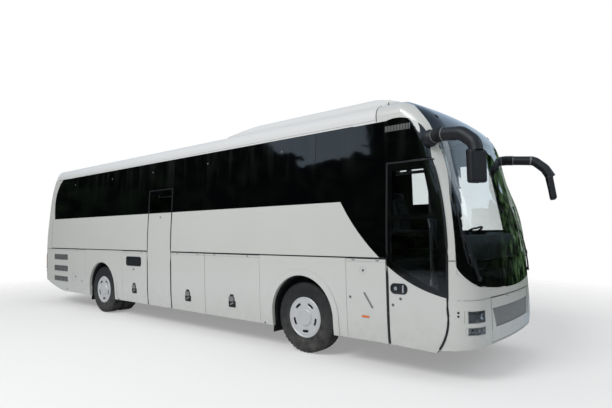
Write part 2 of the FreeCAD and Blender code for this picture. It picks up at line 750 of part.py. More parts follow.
def rear_end():
    """Upper rear wall, its window, the bumper with its lamps, and the engine lid."""
    lid_zone = box(tail - 100, tail + 260, -ENGINE_LID_HALF, ENGINE_LID_HALF,
                   ENGINE_LID_LOW, ENGINE_LID_HIGH)
    upper = panel(MIDDLE, box(tail - 100, WALL_TAIL, -FAR, FAR, waist, band)).cut(lid_zone)
    half, low, high = REAR_WINDOW
    glass_zone = box(tail - 100, tail + 500, -half, half, low, high)
    glass = pane(MIDDLE, glass_zone)
    keep("rear_glass", glass)
    upper = upper.cut(glass).cut(box(tail - 100, tail + 500, -half + 90, half - 90, low + 80, high - 80))
    lower = panel(MIDDLE, box(tail - 100, tail + 300, -FAR, FAR, 0, waist).cut(below_tail)).cut(lid_zone)
    lamps = []
    for side in (LEFT, RIGHT):
        pocket = box(tail - 100, tail + 150, side * TAIL_LAMP[0], side * FAR, TAIL_LAMP[1], TAIL_LAMP[2])
        lamps += lower.common(pocket).Solids
        lower = lower.cut(pocket)
    keep("tail_lamps", Part.Compound(lamps))
    keep("rear_bumper", lower)
    lid_box = box(tail - 100, tail + 260, -ENGINE_LID_HALF + gap / 2, ENGINE_LID_HALF - gap / 2,
                  ENGINE_LID_LOW + gap, ENGINE_LID_HIGH - END_GAP)
    return upper, panel(MIDDLE, lid_box)


upper, lid = rear_end()
ENGINE_AXIS = (end_surface(ENGINE_LID_HIGH, -1) + END_DEPTH, ENGINE_LID_HIGH - END_GAP - 5)
lid, lid_lugs = hinged(lid, ENGINE_AXIS[0], ENGINE_AXIS[1], (-250, 250), -34)
keep("engine_lid", lid)
for lug in lid_lugs:
    upper = upper.fuse(lug.common(skin))
keep("rear_wall", upper)

# ---------------------------------------------------------------- underframe, floor and cabin

NAMES = "|".join(sorted(size, key=len, reverse=True))
NOSE = "((body_length - mirror_reach) / 2)"
TAIL = "(%s - body_length)" % NOSE
FRONT = "(%s - front_overhang)" % NOSE
REAR = "(%s - wheelbase)" % FRONT


def bound(text):
    """An expression in the sheet's names, such as 'wall * 2'."""
    return re.sub(r"\b(%s)\b" % NAMES, r"Sizes.\1", str(text))


def block(x, y, z):
    """A box between two stations, two offsets across and two heights, each an expression."""
    made = doc.addObject("Part::Box", "block")
    for prop, axis, (low, high) in zip(("Length", "Width", "Height"), "xyz", (x, y, z)):
        made.setExpression("Placement.Base." + axis, bound(low))
        made.setExpression(prop, bound("(%s) - (%s)" % (high, low)))
    return made


def fused(name, parts):
    """One sub-part made of several primitives."""
    made = doc.addObject("Part::MultiFuse", name)
    made.Shapes = parts
    return keep_object(name, made)


LEFT_EDGE = "(body_width / 2 - %g)" % FLOOR_EDGE
RIGHT_EDGE = "-" + LEFT_EDGE
BAY_FRONT = FRONT + " - bulkhead_reach"
BAY_REAR = REAR + " + bulkhead_reach"
CAB_REAR = FRONT + " + bulkhead_reach"
ENGINE_WALL = REAR + " - bulkhead_reach"
UNDERFRAME = (
    # rear, front, right, left, low, high: bay floor, bulkheads, rails and cross members
    (BAY_REAR, BAY_FRONT, RIGHT_EDGE, LEFT_EDGE, "bay_level - 40", "bay_level"),
    (BAY_FRONT, BAY_FRONT + " + 40", RIGHT_EDGE, LEFT_EDGE, "bay_level - 40", "floor_level - 40"),
    (BAY_REAR + " - 40", BAY_REAR, RIGHT_EDGE, LEFT_EDGE, "bay_level - 40", "floor_level - 40"),
    (CAB_REAR, CAB_REAR + " + 40", RIGHT_EDGE, LEFT_EDGE, "560", "cab_level - 40"),
    (ENGINE_WALL + " - 40", ENGINE_WALL, RIGHT_EDGE, LEFT_EDGE, "560", "floor_level - 40"),
    (BAY_REAR + " - 40", BAY_FRONT + " + 40", "-445", "-355", "bay_level - 120", "bay_level - 40"),
    (BAY_REAR + " - 40", BAY_FRONT + " + 40", "355", "445", "bay_level - 120", "bay_level - 40"),
    (BAY_FRONT + " + 40", CAB_REAR + " + 40", "-445", "-355", "680", "820"),
    (BAY_FRONT + " + 40", NOSE + " - 260", "355", "445", "680", "820"),
    (TAIL + " + 160", BAY_REAR + " - 40", "-445", "-355", "720", "860"),
    (TAIL + " + 160", BAY_REAR + " - 40", "355", "445", "720", "860"),
    (NOSE + " - 340", NOSE + " - 260", "-1000", "1000", "680", "820"),
    (TAIL + " + 150", TAIL + " + 230", "-1000", "1000", "720", "860"),
)
fused("underframe", [block(row[0:2], row[2:4], row[4:6]) for row in UNDERFRAME])

STAIR_REAR, STAIR_FRONT = FRONT + " - mid_door_rear", FRONT + " - bay_rear"
CAB_STEP = FRONT + " + door_rear - 80"
STAIR_WALL = "-500"
UPSTAND = LEFT_EDGE + " - 40"
FLOOR = (
    # rear, front, right, left, low, high: the slab round the middle stairwell, the step down to the cab,
    # the cab's floor, the raised edges that carry the side walls, and the stairwell's inner wall
    (TAIL + " + 240", STAIR_REAR, RIGHT_EDGE, LEFT_EDGE, "floor_level - 40", "floor_level"),
    (STAIR_REAR, STAIR_FRONT, STAIR_WALL, LEFT_EDGE, "floor_level - 40", "floor_level"),
    (STAIR_FRONT, CAB_STEP, RIGHT_EDGE, LEFT_EDGE, "floor_level - 40", "floor_level"),
    (CAB_STEP + " - 40", CAB_STEP, "-1085", LEFT_EDGE, "cab_level - 40", "floor_level - 40"),
    (CAB_REAR, CAB_STEP, "-1085", LEFT_EDGE, "cab_level - 40", "cab_level"),
    (CAB_STEP, NOSE + " - 330", "-160", LEFT_EDGE, "cab_level - 40", "cab_level"),
    (TAIL + " + 560", CAB_STEP, UPSTAND, LEFT_EDGE, "floor_level - 20", "waist_level"),
    (TAIL + " + 560", STAIR_REAR, RIGHT_EDGE, "-(%s)" % UPSTAND, "floor_level - 20", "waist_level"),
    (STAIR_FRONT, CAB_STEP, RIGHT_EDGE, "-(%s)" % UPSTAND, "floor_level - 20", "waist_level"),
    (STAIR_REAR, STAIR_FRONT, STAIR_WALL + " - 40", STAIR_WALL, "bay_level", "floor_level"),
)
TREADS = (
    # outer edge, inner edge, height over the bay floor
    ("-1085", "-840", 230),
    ("-840", "-670", 460),
    ("-670", STAIR_WALL, 690),
)
parts = [block(row[0:2], row[2:4], row[4:6]) for row in FLOOR]
for outer, inner, height in TREADS:
    parts.append(block((STAIR_REAR + " + 20", STAIR_FRONT + " - 20"), (outer, inner),
                       ("bay_level", "bay_level + %d" % height)))
fused("saloon_floor", parts)

ENTRY_REAR, ENTRY_FRONT = FRONT + " + door_rear - 60", NOSE + " - 480"
ENTRY = (
    # rear, front, outer edge, inner edge, low, high: the treads and the wall behind them
    (ENTRY_REAR, ENTRY_FRONT, "-1170", "-860", "skirt_level + 20", "skirt_level + 60"),
    (ENTRY_REAR, ENTRY_FRONT, "-860", "-520", "skirt_level + 20", "skirt_level + 260"),
    (ENTRY_REAR, ENTRY_FRONT, "-520", "-160", "skirt_level + 20", "skirt_level + 460"),
    (ENTRY_REAR + " - 40", ENTRY_REAR, "-1170", "-160", "skirt_level + 20", "cab_level - 40"),
)
fused("entry_stairs", [block(row[0:2], row[2:4], row[4:6]) for row in ENTRY])

keep_object("engine", block((TAIL + " + 300", TAIL + " + 1700"), ("-355", "355"), ("480", "1250")))


def tube(x, y, z, radius, length, turn=None):
    """A cylinder from a point, each coordinate an expression; turn is its axis and angle."""
    made = doc.addObject("Part::Cylinder", "tube")
    for axis, text in zip("xyz", (x, y, z)):
        made.setExpression("Placement.Base." + axis, bound(text))
    made.setExpression("Radius", bound(radius))
    made.setExpression("Height", bound(length))
    if turn:
        made.Placement.Rotation = FreeCAD.Rotation(V(*turn[0]), turn[1])
    return made


ALONG_Y = ((1, 0, 0), -90)


def across(side, near, far):
    """Two offsets from the centre plane on one side, the lower one first, as expressions."""
    return (near, far) if side == LEFT else ("-(%s)" % far, "-(%s)" % near)


def along_axle(station, side, near, far, radius):
    """A round spindle on one side, about the axle's line."""
    low, high = across(side, near, far)
    return tube(station, low, "tyre_radius", radius, "(%s) - (%s)" % (high, low), ALONG_Y)


BOSS, JAW = 55, 110
boss_levels = ("tyre_radius - %d" % BOSS, "tyre_radius + %d" % BOSS)
front_width = (FRONT + " - 50", FRONT + " + 50")
front_parts = [block(front_width, ("-king_pin + 100", "king_pin - 100"), ("400", "500"))]
rear_parts = [tube(REAR, "-560", "tyre_radius", "85", "1120", ALONG_Y),
              tube(REAR, "-twin_outer / 2 - 30", "tyre_radius", "hub_radius", "twin_outer + 60", ALONG_Y),
              block((REAR + " - 220", REAR + " + 220"), ("-200", "200"),
                    ("tyre_radius - 200", "tyre_radius + 190"))]
pins = []
for side in (LEFT, RIGHT):
    pin_y = "%d * king_pin" % side
    front_parts.append(block(front_width, across(side, "king_pin - 160", "king_pin - 100"),
                             ("400", boss_levels[1])))
    front_parts.append(block(front_width, across(side, "king_pin - 160", "king_pin"), boss_levels))
    front_parts.append(tube(FRONT, pin_y, boss_levels[0], "60", "%d" % (2 * BOSS)))
    front_parts.append(tube(FRONT, "%d * 400" % side, "500", "70", "680 - 500"))
    pins.append(tube(FRONT, pin_y, "300", "25 + running_gap", "450"))
    rear_parts.append(tube(REAR + " - 130", "%d * 400" % side, "tyre_radius", "80", "720 - tyre_radius"))
    rear_parts.append(block((REAR + " - 200", REAR + " + 60"), across(side, "340", "460"),
                            ("tyre_radius - 40", "tyre_radius + 60")))
beam = doc.addObject("Part::MultiFuse", "axle_beam")
beam.Shapes = front_parts
holes = doc.addObject("Part::MultiFuse", "pin_holes")
holes.Shapes = pins
front = doc.addObject("Part::Cut", "front_axle")
front.Base = beam
front.Tool = holes
keep_object("front_axle", front)
fused("rear_axle", rear_parts)

for label, side in SIDES.items():
    width = (FRONT + " - 55", FRONT + " + 55")
    jaws = across(side, "king_pin - 60", "king_pin + 80")
    fused("knuckle_" + label, [
        tube(FRONT, "%d * king_pin" % side, "tyre_radius - %d" % JAW, "25", "%d" % (2 * JAW)),
        block(width, jaws, ("tyre_radius + %d" % (BOSS + 5), "tyre_radius + %d" % JAW)),
        block(width, jaws, ("tyre_radius - %d" % JAW, "tyre_radius - %d" % (BOSS + 5))),
        block(width, across(side, "king_pin + 70", "king_pin + 100"),
              ("tyre_radius - %d" % JAW, "tyre_radius + %d" % JAW)),
        along_axle(FRONT, side, "king_pin + 90", "king_pin + 180", "stub_radius"),
    ])

# ---------------------------------------------------------------- wheels


def turned(profile, x, y, side):
    """A ring turned about a wheel's axle; the profile gives outward offset and radius."""
    points = [V(x, y + side * across, size["tyre_radius"] + radius) for across, radius in profile]
    wire = Part.makePolygon(points + points[:1])
    return Part.Face(wire).revolve(V(x, y, size["tyre_radius"]), V(0, 1, 0), 360)


TYRE_FACETS = 60


def faceted(profile, x, y):
    """A light ring of flat facets about a wheel's axle, that stands on one of them."""
    share = math.cos(math.pi / TYRE_FACETS)
    rings = []
    for across, radius in profile:
        turns = [2 * math.pi * (count + 0.5) / TYRE_FACETS for count in range(TYRE_FACETS + 1)]
        rings.append([V(x + radius / share * math.sin(turn), y + across,
                        size["tyre_radius"] - radius / share * math.cos(turn)) for turn in turns])
    faces = []
    for ring, after in zip(rings, rings[1:] + rings[:1]):
        for a, b, c, d in zip(ring, ring[1:], after[1:], after):
            faces.append(Part.Face(Part.makePolygon([a, b, c, d, a])))
    made = Part.Solid(Part.Shell(faces))
    return made if made.Volume > 0 else made.reversed()


def tyre(x, y):
    half = size["tyre_width"] / 2
    outer, inner = size["tyre_radius"], size["rim_radius"]
    profile = [(-half + 30, inner), (-half, inner + 90), (-half + 6, outer - 60), (-half + 34, outer),
               (half - 34, outer), (half - 6, outer - 60), (half, inner + 90), (half - 30, inner)]
    return faceted(profile, x, y)


def rim(x, y, side, bore, offset):
    """A wheel's steel rim with its disc; offset is where the disc sits, outward of the tyre's centre."""
    half = size["tyre_width"] / 2
    inner = size["rim_radius"]
    profile = [(-half + 25, inner), (half - 25, inner), (half - 25, inner - 12), (offset + 14, inner - 14),
               (offset + 14, bore), (offset - 14, bore), (offset - 14, inner - 14), (-half + 25, inner - 12)]
    return turned(profile, x, y, side)


def cap(x, y, side):
    """The round cover over a wheel, with a raised middle."""
    half = size["tyre_width"] / 2
    inner = size["rim_radius"]
    profile = [(half - 25, inner - 12), (half - 25, inner), (half - 14, inner + 12),
               (half - 6, inner + 8), (half - 12, inner - 60), (half - 26, inner - 130),
               (half - 24, inner - 150), (half - 6, inner - 162),
               (half - 4, 0), (half - 12, 0), (half - 14, inner - 168), (half - 32, inner - 152),
               (half - 34, inner - 130), (half - 20, inner - 60)]
    return turned(profile, x, y, side)


front_centre = size["front_track"] / 2
for label, side in SIDES.items():
    y = side * front_centre
    keep("tyre_front_" + label, tyre(front_axle, y))
    bore = size["stub_radius"] + size["running_gap"]
    keep("wheel_front_" + label, rim(front_axle, y, side, bore, 40).fuse(cap(front_axle, y, side)))
    outer_y = side * size["twin_outer"] / 2
    inner_y = outer_y - side * size["twin_pitch"]
    keep("tyres_rear_" + label, Part.Compound([tyre(rear_axle, outer_y), tyre(rear_axle, inner_y)]))
    bore = size["hub_radius"] + size["running_gap"]
    rims = rim(rear_axle, outer_y, -side, bore, 120).fuse(rim(rear_axle, inner_y, side, bore, 120))
    spacer = rod((rear_axle, outer_y - side * 130, size["tyre_radius"]),
                 (rear_axle, inner_y + side * 130, size["tyre_radius"]), 110)
    spacer = spacer.cut(rod((rear_axle, outer_y, size["tyre_radius"]),
                            (rear_axle, inner_y, size["tyre_radius"]), bore))
    keep("wheels_rear_" + label, rims.fuse(spacer).fuse(cap(rear_axle, outer_y, side)))

# ---------------------------------------------------------------- cabin fittings

SEAT_PITCH = 815


def seat_pair(x, y, level):
    """Two seats side by side on one foot: cushion, back and head part."""
    cushion = box(x - 230, x + 230, y - 440, y + 440, level + 330, level + 450)
    foot = box(x - 60, x + 60, y - 250, y + 250, level, level + 330)
    back = side_prism([(x - 170, level + 400), (x - 290, level + 400),
                       (x - 420, level + 1120), (x - 330, level + 1120)], y - 440, y + 440)
    return joined([cushion, foot, back])


seats = []
for row in range(12):
    x = door_rear - 650 - row * SEAT_PITCH
    for side in (LEFT, RIGHT):
        if side == RIGHT and mid_door_rear - 300 < x < bay_rear + 480:
            continue
        seats.append(seat_pair(x, side * 740, floor_top))
keep("passenger_seats", Part.Compound(seats))

cab = size["cab_level"]
driver_x = front_axle + 1640
keep("driver_seat", joined([
    box(driver_x - 240, driver_x + 240, 380, 880, cab + 380, cab + 500),
    box(driver_x - 120, driver_x + 120, 500, 760, cab, cab + 380),
    side_prism([(driver_x - 180, cab + 450), (driver_x - 290, cab + 450),
                (driver_x - 400, cab + 1250), (driver_x - 310, cab + 1250)], 390, 870)]))

WHEEL_X, WHEEL_Y = front_axle + 2010, 630
DASH = (
    # rear and front behind the nose, right, left, low and high above the cab floor:
    # shelf, driver's foot wall, driver's binnacle, lower top on the right
    (430, 130, -900, 1080, 100, 170),
    (420, 330, 100, 1080, 0, 400),
    (560, 130, 250, 1010, 170, 430),
    (420, 130, -900, 300, 170, 330),
)
dash = joined([box(nose - rear, nose - front, right, left, cab + low, cab + high).common(lining)
               for rear, front, right, left, low, high in DASH])

COLUMN_TILT = math.radians(28)


def steering_wheel():
    """Rim, spokes and shaft, all about the tilted column."""
    centre = V(WHEEL_X - 180, WHEEL_Y, cab + 800)
    axis = V(-math.sin(COLUMN_TILT), 0, math.cos(COLUMN_TILT))
    ring = Part.makeTorus(225, 16, centre, axis)
    shaft = Part.makeCylinder(22, 330, centre - axis * 330, axis)
    hub = Part.makeCylinder(60, 40, centre - axis * 30, axis)
    across = axis.cross(V(0, 1, 0))
    spokes = [Part.makeCylinder(11, 450, centre - V(0, 225, 0), V(0, 1, 0)),
              Part.makeCylinder(11, 225, centre, -across if across.z > 0 else across)]
    return joined([ring, shaft, hub] + spokes), centre, axis


shape, wheel_centre, wheel_axis = steering_wheel()
keep("steering_wheel", shape)
column = Part.makeCylinder(45, 600, wheel_centre - wheel_axis * 900, wheel_axis)
column = column.common(box(0, nose, 0, FAR, cab, 4000))
socket = Part.makeCylinder(22 + size["running_gap"], 60, wheel_centre - wheel_axis * 340, wheel_axis)
column = column.cut(socket)
keep("dashboard", dash.fuse(column))

racks = []
for side in (LEFT, RIGHT):
    rack = box(tail + 700, door_rear - 100, side * 750, side * FAR, band - 60, band - 20)
    racks.append(rack.common(lining))
keep("luggage_racks", Part.Compound(racks))

# ---------------------------------------------------------------- mirrors

MIRROR_EDGE = half_width + 200
HEAD_WIDE, HEAD_DEEP, HEAD_ROUND = 225, 90, 30
SEAT_GAP = 0.5
MIRRORS = {
    # turn: degrees by which the glass faces in towards the driver; lean: degrees by which its foot stands
    # forward; reach: the head's front ahead of the nose; low, high: ends of the head; radius: of the arm;
    # foot: radius of the disc on the roof edge; arm: points ahead of the nose, out from the centre plane
    # and up, with the bend's radius at each
    "right": {
        "turn": 31, "lean": 0, "reach": 128,
        "low": 2334, "high": 2708, "radius": 80, "foot": 108,
        "arm": ((-578, 1210, 2945, 0), (-430, 1268, 2964, 150), (-135, 1332, 2928, 150),
                (18, 1354, 2800, 150), (40, 1364, 2690, 0)),
    },
    "left": {
        "turn": 16, "lean": 8, "reach": size["mirror_reach"],
        "low": 2268, "high": 2642, "radius": 71, "foot": 80,
        "arm": ((-578, 1210, 2920, 0), (-414, 1262, 2930, 150), (-20, 1350, 2896, 150),
                (130, 1360, 2760, 150), (size["mirror_reach"] - 90, 1361, 2620, 0)),
    },
}


def bent_path(corners):
    """A wire through corners, each a point and the radius of its bend: straight runs and tangent arcs."""
    edges = []
    last = corners[0][0]
    for (before, _), (corner, radius), (after, _) in zip(corners, corners[1:], corners[2:]):
        back = (before - corner).normalize()
        onward = (after - corner).normalize()
        half_angle = back.getAngle(onward) / 2
        trim = radius / math.tan(half_angle)
        middle = (back + onward).normalize() * (radius / math.sin(half_angle) - radius)
        start, end = corner + back * trim, corner + onward * trim
        edges += [Part.makeLine(last, start), Part.Arc(start, corner + middle, end).toShape()]
        last = end
    return Part.Wire(edges + [Part.makeLine(last, corners[-1][0])])


def mirror_head(mirror, side):
    """The rounded housing, turned in towards the driver, out to the mirrors' common edge."""
    low, high = mirror["low"], mirror["high"]
    half_wide, half_deep, half_tall = HEAD_WIDE / 2, HEAD_DEEP / 2, (high - low) / 2
    head = box(-half_deep, half_deep, -half_wide, half_wide, -half_tall, half_tall)
    head = head.makeFillet(HEAD_ROUND, head.Edges)
    head.rotate(V(0, 0, 0), V(0, 0, 1), side * mirror["turn"])
    head.rotate(V(0, 0, 0), V(0, 1, 0), -mirror["lean"])
    room = head.optimalBoundingBox()
    x, y = nose + mirror["reach"] - room.XMax, MIRROR_EDGE - room.YMax
    head.translate(V(x, side * y, (low + high) / 2))
    return head


mirrors = []
seat_of_mirrors = body(-SEAT_GAP)
for label, mirror in MIRRORS.items():
    side = SIDES[label]
    corners = [(V(nose + ahead, side * out, up), radius) for ahead, out, up, radius in mirror["arm"]]
    path = bent_path(corners)
    foot = corners[0][0]
    ring = Part.Wire([Part.makeCircle(mirror["radius"], foot, corners[1][0] - foot)])
    arm = path.makePipeShell([ring], True, False).fuse(Part.makeSphere(mirror["foot"], foot))
    mirrors += arm.fuse(mirror_head(mirror, side)).cut(seat_of_mirrors).Solids
keep("mirrors", Part.Compound(mirrors))

# ---------------------------------------------------------------- check and write

doc.recompute()
for made in doc.Objects:
    if "Invalid" in made.State or "Error" in made.State:
        raise RuntimeError("%s failed to compute" % made.Label)
for name, made in nodes.items():
    if made.Shape.isNull() or not made.Shape.isValid() or not made.Shape.Solids:
        raise RuntimeError("%s has no valid solid" % name)
os.makedirs("parts", exist_ok=True)
for name, made in nodes.items():
    made.Shape.exportStep("parts/%s.step" % name)
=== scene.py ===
import json
import math

import bmesh
import bpy
from mathutils import Matrix, Vector
from mathutils.bvhtree import BVHTree


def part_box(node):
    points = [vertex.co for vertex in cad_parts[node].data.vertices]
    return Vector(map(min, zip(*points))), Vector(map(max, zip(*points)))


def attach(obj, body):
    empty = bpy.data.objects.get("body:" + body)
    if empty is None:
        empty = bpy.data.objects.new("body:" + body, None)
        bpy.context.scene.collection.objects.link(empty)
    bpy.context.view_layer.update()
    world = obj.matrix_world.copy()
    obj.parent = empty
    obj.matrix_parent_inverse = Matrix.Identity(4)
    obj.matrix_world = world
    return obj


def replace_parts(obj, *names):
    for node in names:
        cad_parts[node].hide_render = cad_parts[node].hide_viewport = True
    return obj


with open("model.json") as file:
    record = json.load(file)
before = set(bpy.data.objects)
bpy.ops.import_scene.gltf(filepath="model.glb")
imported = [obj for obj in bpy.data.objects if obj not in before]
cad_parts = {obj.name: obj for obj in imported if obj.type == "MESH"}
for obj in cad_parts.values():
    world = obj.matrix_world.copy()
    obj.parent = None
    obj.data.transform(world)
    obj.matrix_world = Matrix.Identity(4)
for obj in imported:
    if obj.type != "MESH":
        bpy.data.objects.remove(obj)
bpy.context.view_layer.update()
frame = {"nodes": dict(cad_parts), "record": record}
NODES = frame["nodes"]
SIDES = {"left": 1, "right": -1}


# ------------------------------------------------------------------ materials

class Look:
    """A procedural material on one Principled shader, built up by small steps."""

    def __init__(self, name, colour, roughness=0.5, edge=0.0, **sockets):
        self.material = bpy.data.materials.new(name)
        self.material.use_nodes = True
        self.tree = self.material.node_tree
        self.shader = self.tree.nodes["Principled BSDF"]
        self.colour = (*colour, 1.0)
        self.roughness = roughness
        self.shader.inputs["Base Color"].default_value = self.colour
        self.shader.inputs["Roughness"].default_value = roughness
        for socket, value in sockets.items():
            self.shader.inputs[socket.replace("_", " ")].default_value = value
        self.place = self.node("ShaderNodeTexCoord").outputs["Object"]
        self.tint = None
        self.sheen = None
        self.normal = None
        if edge:
            rounded = self.node("ShaderNodeBevel", samples=4)
            rounded.inputs["Radius"].default_value = edge
            self.normal = rounded.outputs["Normal"]
            self.link(self.normal, self.shader.inputs["Normal"])

    def node(self, kind, **settings):
        made = self.tree.nodes.new(kind)
        for name, value in settings.items():
            setattr(made, name, value)
        return made

    def link(self, source, target):
        self.tree.links.new(source, target)

    def noise(self, scale, detail, stretch=(1, 1, 1)):
        mapping = self.node("ShaderNodeMapping")
        mapping.inputs["Scale"].default_value = stretch
        self.link(self.place, mapping.inputs["Vector"])
        noise = self.node("ShaderNodeTexNoise")
        noise.inputs["Scale"].default_value = scale
        noise.inputs["Detail"].default_value = detail
        self.link(mapping.outputs["Vector"], noise.inputs["Vector"])
        return noise.outputs["Fac"]

    def ramp(self, source, low, high, bottom=0.0, top=1.0):
        span = self.node("ShaderNodeMapRange")
        span.inputs["From Min"].default_value = low
        span.inputs["From Max"].default_value = high
        span.inputs["To Min"].default_value = bottom
        span.inputs["To Max"].default_value = top
        self.link(source, span.inputs["Value"])
        return span.outputs["Result"]

    def height(self):
        """The level of each point in its piece's own frame, in metres."""
        parts = self.node("ShaderNodeSeparateXYZ")
        self.link(self.place, parts.inputs["Vector"])
        return parts.outputs["Z"]

    def times(self, first, second):
        product = self.node("ShaderNodeMath", operation="MULTIPLY")
        self.link(first, product.inputs[0])
        self.link(second, product.inputs[1])
        return product.outputs["Value"]

    def layer(self, share, colour, roughness=None):
        """Lays another colour, and roughness, over the surface where share is one."""
        mix = self.node("ShaderNodeMix", data_type="RGBA")
        self.link(share, mix.inputs["Factor"])
        if self.tint is None:
            mix.inputs["A"].default_value = self.colour
        else:
            self.link(self.tint, mix.inputs["A"])
        mix.inputs["B"].default_value = (*colour, 1.0)
        self.tint = mix.outputs["Result"]
        self.link(self.tint, self.shader.inputs["Base Color"])
        if roughness is not None:
            blend = self.node("ShaderNodeMix", data_type="FLOAT")
            self.link(share, blend.inputs["Factor"])
            if self.sheen is None:
                blend.inputs["A"].default_value = self.roughness
            else:
                self.link(self.sheen, blend.inputs["A"])
            blend.inputs["B"].default_value = roughness
            self.sheen = blend.outputs["Result"]
            self.link(self.sheen, self.shader.inputs["Roughness"])
        return self

    def mottle(self, scale, amount, spread=0.08):
        """Slow changes of shade and of roughness over the surface."""
        share = self.ramp(self.noise(scale, 4.0), 0.3, 0.7)
        shade = [channel * (1.0 - amount) for channel in self.colour[:3]]
        return self.layer(share, shade, min(1.0, self.roughness + spread))

    def grain(self, scale, depth):
        """A fine bump, depth in metres."""
        bump = self.node("ShaderNodeBump")
        bump.inputs["Strength"].default_value = 1.0
        bump.inputs["Distance"].default_value = depth
        self.link(self.noise(scale, 2.0), bump.inputs["Height"])
        if self.normal is not None:
            self.link(self.normal, bump.inputs["Normal"])
        self.normal = bump.outputs["Normal"]
        self.link(self.normal, self.shader.inputs["Normal"])
        return self

    def streaks(self, colour, low, high, amount=0.32, roughness=0.12):
        """Rain marks that run down from high and fade out at low."""
        marks = self.ramp(self.noise(1.0, 5.0, (7.0, 7.0, 0.5)), 0.50, 0.72, 0.0, amount)
        return self.layer(self.times(marks, self.ramp(self.height(), low, high)), colour, roughness)

    def dust(self, low, high, amount):
        """Road dust that thins out upwards from low to high."""
        patches = self.ramp(self.noise(9.0, 6.0), 0.25, 0.75, 0.0, amount)
        share = self.times(patches, self.ramp(self.height(), low, high, 1.0, 0.0))
        return self.layer(share, DUST, 0.7)


DUST = (0.36, 0.34, 0.30)


def paint_look(name, colour, roughness, coat):
    look = Look(name, colour, roughness, edge=0.006, Coat_Weight=coat, Coat_Roughness=0.12)
    look.mottle(0.9, 0.035, 0.05)
    look.grain(140.0, 0.00004)
    return look.dust(0.30, 0.95, 0.30)


LOOKS = {
    "paint": paint_look("coach_paint", (0.585, 0.60, 0.58), 0.30, 0.4),
    "roof_paint": paint_look("roof_paint", (0.68, 0.69, 0.69), 0.45, 0.1),
    "black_cap": Look("gloss_black", (0.012, 0.014, 0.017), 0.12, Coat_Weight=0.5)
    .mottle(2.0, 0.3, 0.06).grain(90.0, 0.00003),
    "glass_dark": Look("tinted_glass", (0.0012, 0.0016, 0.002), 0.03, Specular_IOR_Level=0.8)
    .mottle(0.7, 0.25, 0.02).grain(3.0, 0.0004).streaks((0.030, 0.032, 0.031), 2.5, 3.15),
    "glass_clear": Look("clear_glass", (0.86, 0.90, 0.90), 0.01, Transmission_Weight=1.0)
    .mottle(1.5, 0.04, 0.01),
    "frame_steel": Look("frame_steel", (0.035, 0.036, 0.038), 0.5)
    .mottle(5.0, 0.3).grain(60.0, 0.0002).dust(0.3, 1.2, 0.5),
    "floor": Look("floor_vinyl", (0.018, 0.018, 0.020), 0.6).mottle(8.0, 0.3).grain(220.0, 0.0003),
    "cast": Look("cast_iron", (0.045, 0.043, 0.042), 0.6, Metallic=0.4)
    .mottle(9.0, 0.35).grain(150.0, 0.0006).dust(0.2, 1.0, 0.6),
    "tyre": Look("tyre_rubber", (0.014, 0.014, 0.015), 0.72)
    .mottle(14.0, 0.3).grain(160.0, 0.0003).dust(-0.2, 0.9, 0.28),
    "wheel": Look("wheel_paint", (0.62, 0.63, 0.64), 0.36, edge=0.004, Metallic=0.25)
    .mottle(6.0, 0.08).grain(200.0, 0.00005).dust(0.2, 0.9, 0.3),
    "seat": Look("seat_cloth", (0.014, 0.018, 0.036), 0.85, Sheen_Weight=0.3)
    .mottle(30.0, 0.3).grain(700.0, 0.0006),
    "plastic": Look("grained_plastic", (0.010, 0.010, 0.012), 0.5)
    .mottle(10.0, 0.2).grain(500.0, 0.0002),
    "mesh": Look("grille_grey", (0.29, 0.30, 0.305), 0.45).mottle(20.0, 0.2).grain(150.0, 0.0002),
    "lamp": Look("lamp_glass", (0.92, 0.94, 0.95), 0.02, Transmission_Weight=1.0)
    .mottle(12.0, 0.05, 0.02),
    "tail_lamp": Look("tail_lamp_red", (0.35, 0.02, 0.012), 0.15, Coat_Weight=0.5)
    .mottle(25.0, 0.2, 0.05),
}
EXTRA = {
    "trim": Look("cabin_trim", (0.022, 0.023, 0.025), 0.7).mottle(5.0, 0.2).grain(350.0, 0.0003),
    "pane_clear": Look("side_pane_clear", (0.90, 0.93, 0.93), 0.01, Transmission_Weight=1.0)
    .mottle(1.5, 0.04, 0.01),
    "rubber": Look("seal_rubber", (0.010, 0.010, 0.011), 0.6).mottle(18.0, 0.3).grain(300.0, 0.0002),
    "frit": Look("black_frit", (0.004, 0.004, 0.005), 0.45, Specular_IOR_Level=0.08)
    .mottle(3.0, 0.3).grain(200.0, 0.00002),
    "mirror_black": Look("mirror_housing", (0.012, 0.013, 0.016), 0.3, edge=0.004, Coat_Weight=0.3)
    .mottle(6.0, 0.3, 0.1).grain(400.0, 0.0001),
    "mirror_glass": Look("mirror_glass", (0.75, 0.78, 0.80), 0.03, Metallic=1.0).mottle(4.0, 0.05, 0.02),
    "chrome": Look("bright_metal", (0.80, 0.81, 0.82), 0.30, Metallic=1.0)
    .mottle(20.0, 0.15).grain(120.0, 0.00003),
    "dull_metal": Look("dull_metal", (0.30, 0.31, 0.32), 0.4, Metallic=0.8)
    .mottle(15.0, 0.2).grain(180.0, 0.0001),
    "amber": Look("amber_lens", (0.75, 0.16, 0.02), 0.15, Coat_Weight=0.4)
    .mottle(30.0, 0.2).grain(90.0, 0.0002),
    # Near-black. Behind louvre slats, behind the grille bars and at the headlamps' inner edges it is painted
    # shade for depth that is not modelled; on the cap markers, the tail lamp rims and the arch liners it is
    # their own black.
    "shadow": Look("black_and_painted_shade", (0.006, 0.006, 0.007), 0.7).mottle(12.0, 0.3).grain(80.0, 0.0003),
    "slat": Look("grey_slat", (0.20, 0.205, 0.205), 0.5).mottle(12.0, 0.2).grain(120.0, 0.0001),
    "pale": Look("pale_plastic", (0.52, 0.53, 0.52), 0.4).mottle(12.0, 0.1).grain(150.0, 0.0001),
    "piping": Look("seat_piping", (0.05, 0.055, 0.07), 0.7).mottle(40.0, 0.2).grain(500.0, 0.0003),
    "red": Look("red_reflector", (0.42, 0.03, 0.02), 0.15, Coat_Weight=0.5)
    .mottle(40.0, 0.2).grain(90.0, 0.0002),
}

